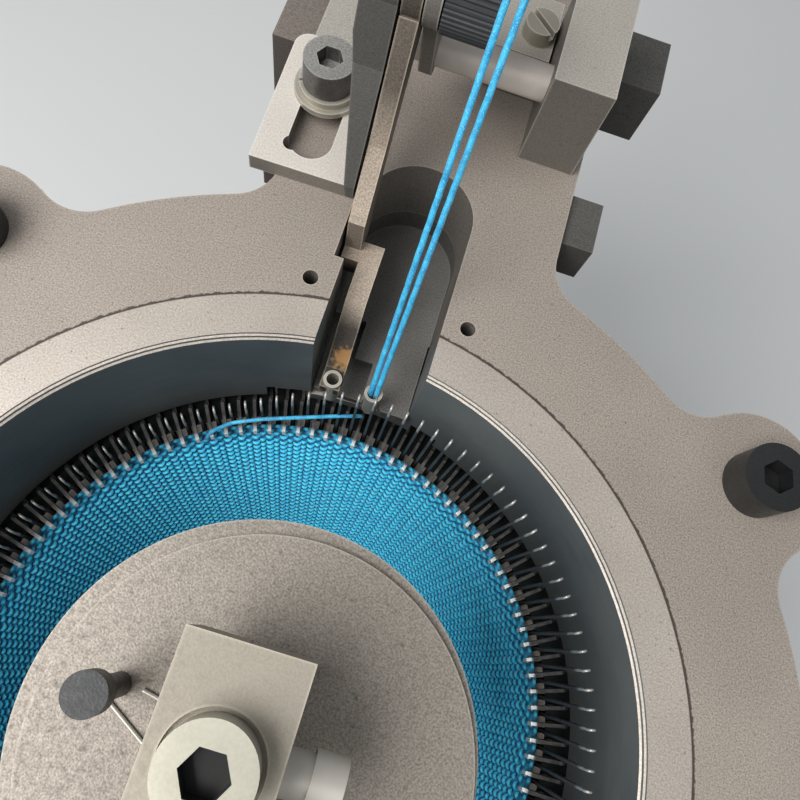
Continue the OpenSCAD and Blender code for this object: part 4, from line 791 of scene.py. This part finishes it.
# Thin strips under the feeder plate, which close the slot's two sides from below: dark pieces that stand in
# for the shade in the gaps there

# Outline of the right-hand strip in millimetres, with a narrow tongue at its front
STRIP_OUTLINE = ((13.74, 89.5), (13.94, 89.5), (13.94, 92.6), (18, 92.6), (20, 94.6), (20, 104), (18, 106),
                 (13.74, 106))
STRIP_TOP = HEAD_TOP - 34.05 * MM
STRIP_T = 3.4 * MM
STRIP_EDGE = 0.08 * MM
STRIP_EDGE_ANGLE = 30


def make_shade_strips():
    points, faces = [], []
    for side in (-1, 1):
        outline = [(x * side * MM, y * MM) for x, y in STRIP_OUTLINE]
        if side < 0:
            outline.reverse()
        first, n = len(points), len(outline)
        points += [(x, y, z) for z in (STRIP_TOP - STRIP_T, STRIP_TOP) for x, y in outline]
        faces.append([first + i for i in range(n)][::-1])
        faces.append([first + n + i for i in range(n)])
        faces += [[first + i, first + (i + 1) % n, first + n + (i + 1) % n, first + n + i] for i in range(n)]
    piece = make_piece("shade_strips", points, faces, "dark_steel", smooth=False)
    soften(piece, STRIP_EDGE, STRIP_EDGE_ANGLE)
    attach(piece, "frame")


# Surroundings

FLOOR_HALF = 3.0
WORLD_COLOUR = (0.9, 0.95, 1.0, 1.0)
WORLD_STRENGTH = 0.38
LAMP_TARGET = Vector((0, 0, 0.22))

# Name, place, size in metres and power in watts
LAMPS = (
    ("key", (-0.35, -0.19, 0.83), 0.5, 7.2),
    ("fill", (0.7, -0.8, 0.9), 0.9, 2.5))


def make_floor():
    mesh = bpy.data.meshes.new("floor")
    h = FLOOR_HALF
    mesh.from_pydata([(-h, -h, 0), (h, -h, 0), (h, h, 0), (-h, h, 0)], [], [(0, 1, 2, 3)])
    s = Shader("floor", 0.8, 0.0)
    s.colour(s.mix(s.noise(3), linear(214, 214, 212), linear(222, 222, 220)))
    mesh.materials.append(s.material)
    floor = bpy.data.objects.new("floor", mesh)
    bpy.context.collection.objects.link(floor)


def make_light():
    world = bpy.data.worlds.new("studio")
    world.use_nodes = True
    background = world.node_tree.nodes["Background"]
    background.inputs["Color"].default_value = WORLD_COLOUR
    background.inputs["Strength"].default_value = WORLD_STRENGTH
    bpy.context.scene.world = world
    for name, place, size, power in LAMPS:
        data = bpy.data.lights.new(name, "AREA")
        data.size = size
        data.energy = power
        lamp = bpy.data.objects.new(name, data)
        bpy.context.collection.objects.link(lamp)
        turn = (LAMP_TARGET - Vector(place)).to_track_quat("-Z", "Y").to_matrix().to_4x4()
        lamp.matrix_world = Matrix.Translation(place) @ turn


make_camera()
make_yarn()
make_laid_yarn()
dress_cad()
make_needles()
make_knit()
make_shade_strips()
make_floor()
make_light()
bpy.context.scene.view_settings.view_transform = "Standard"
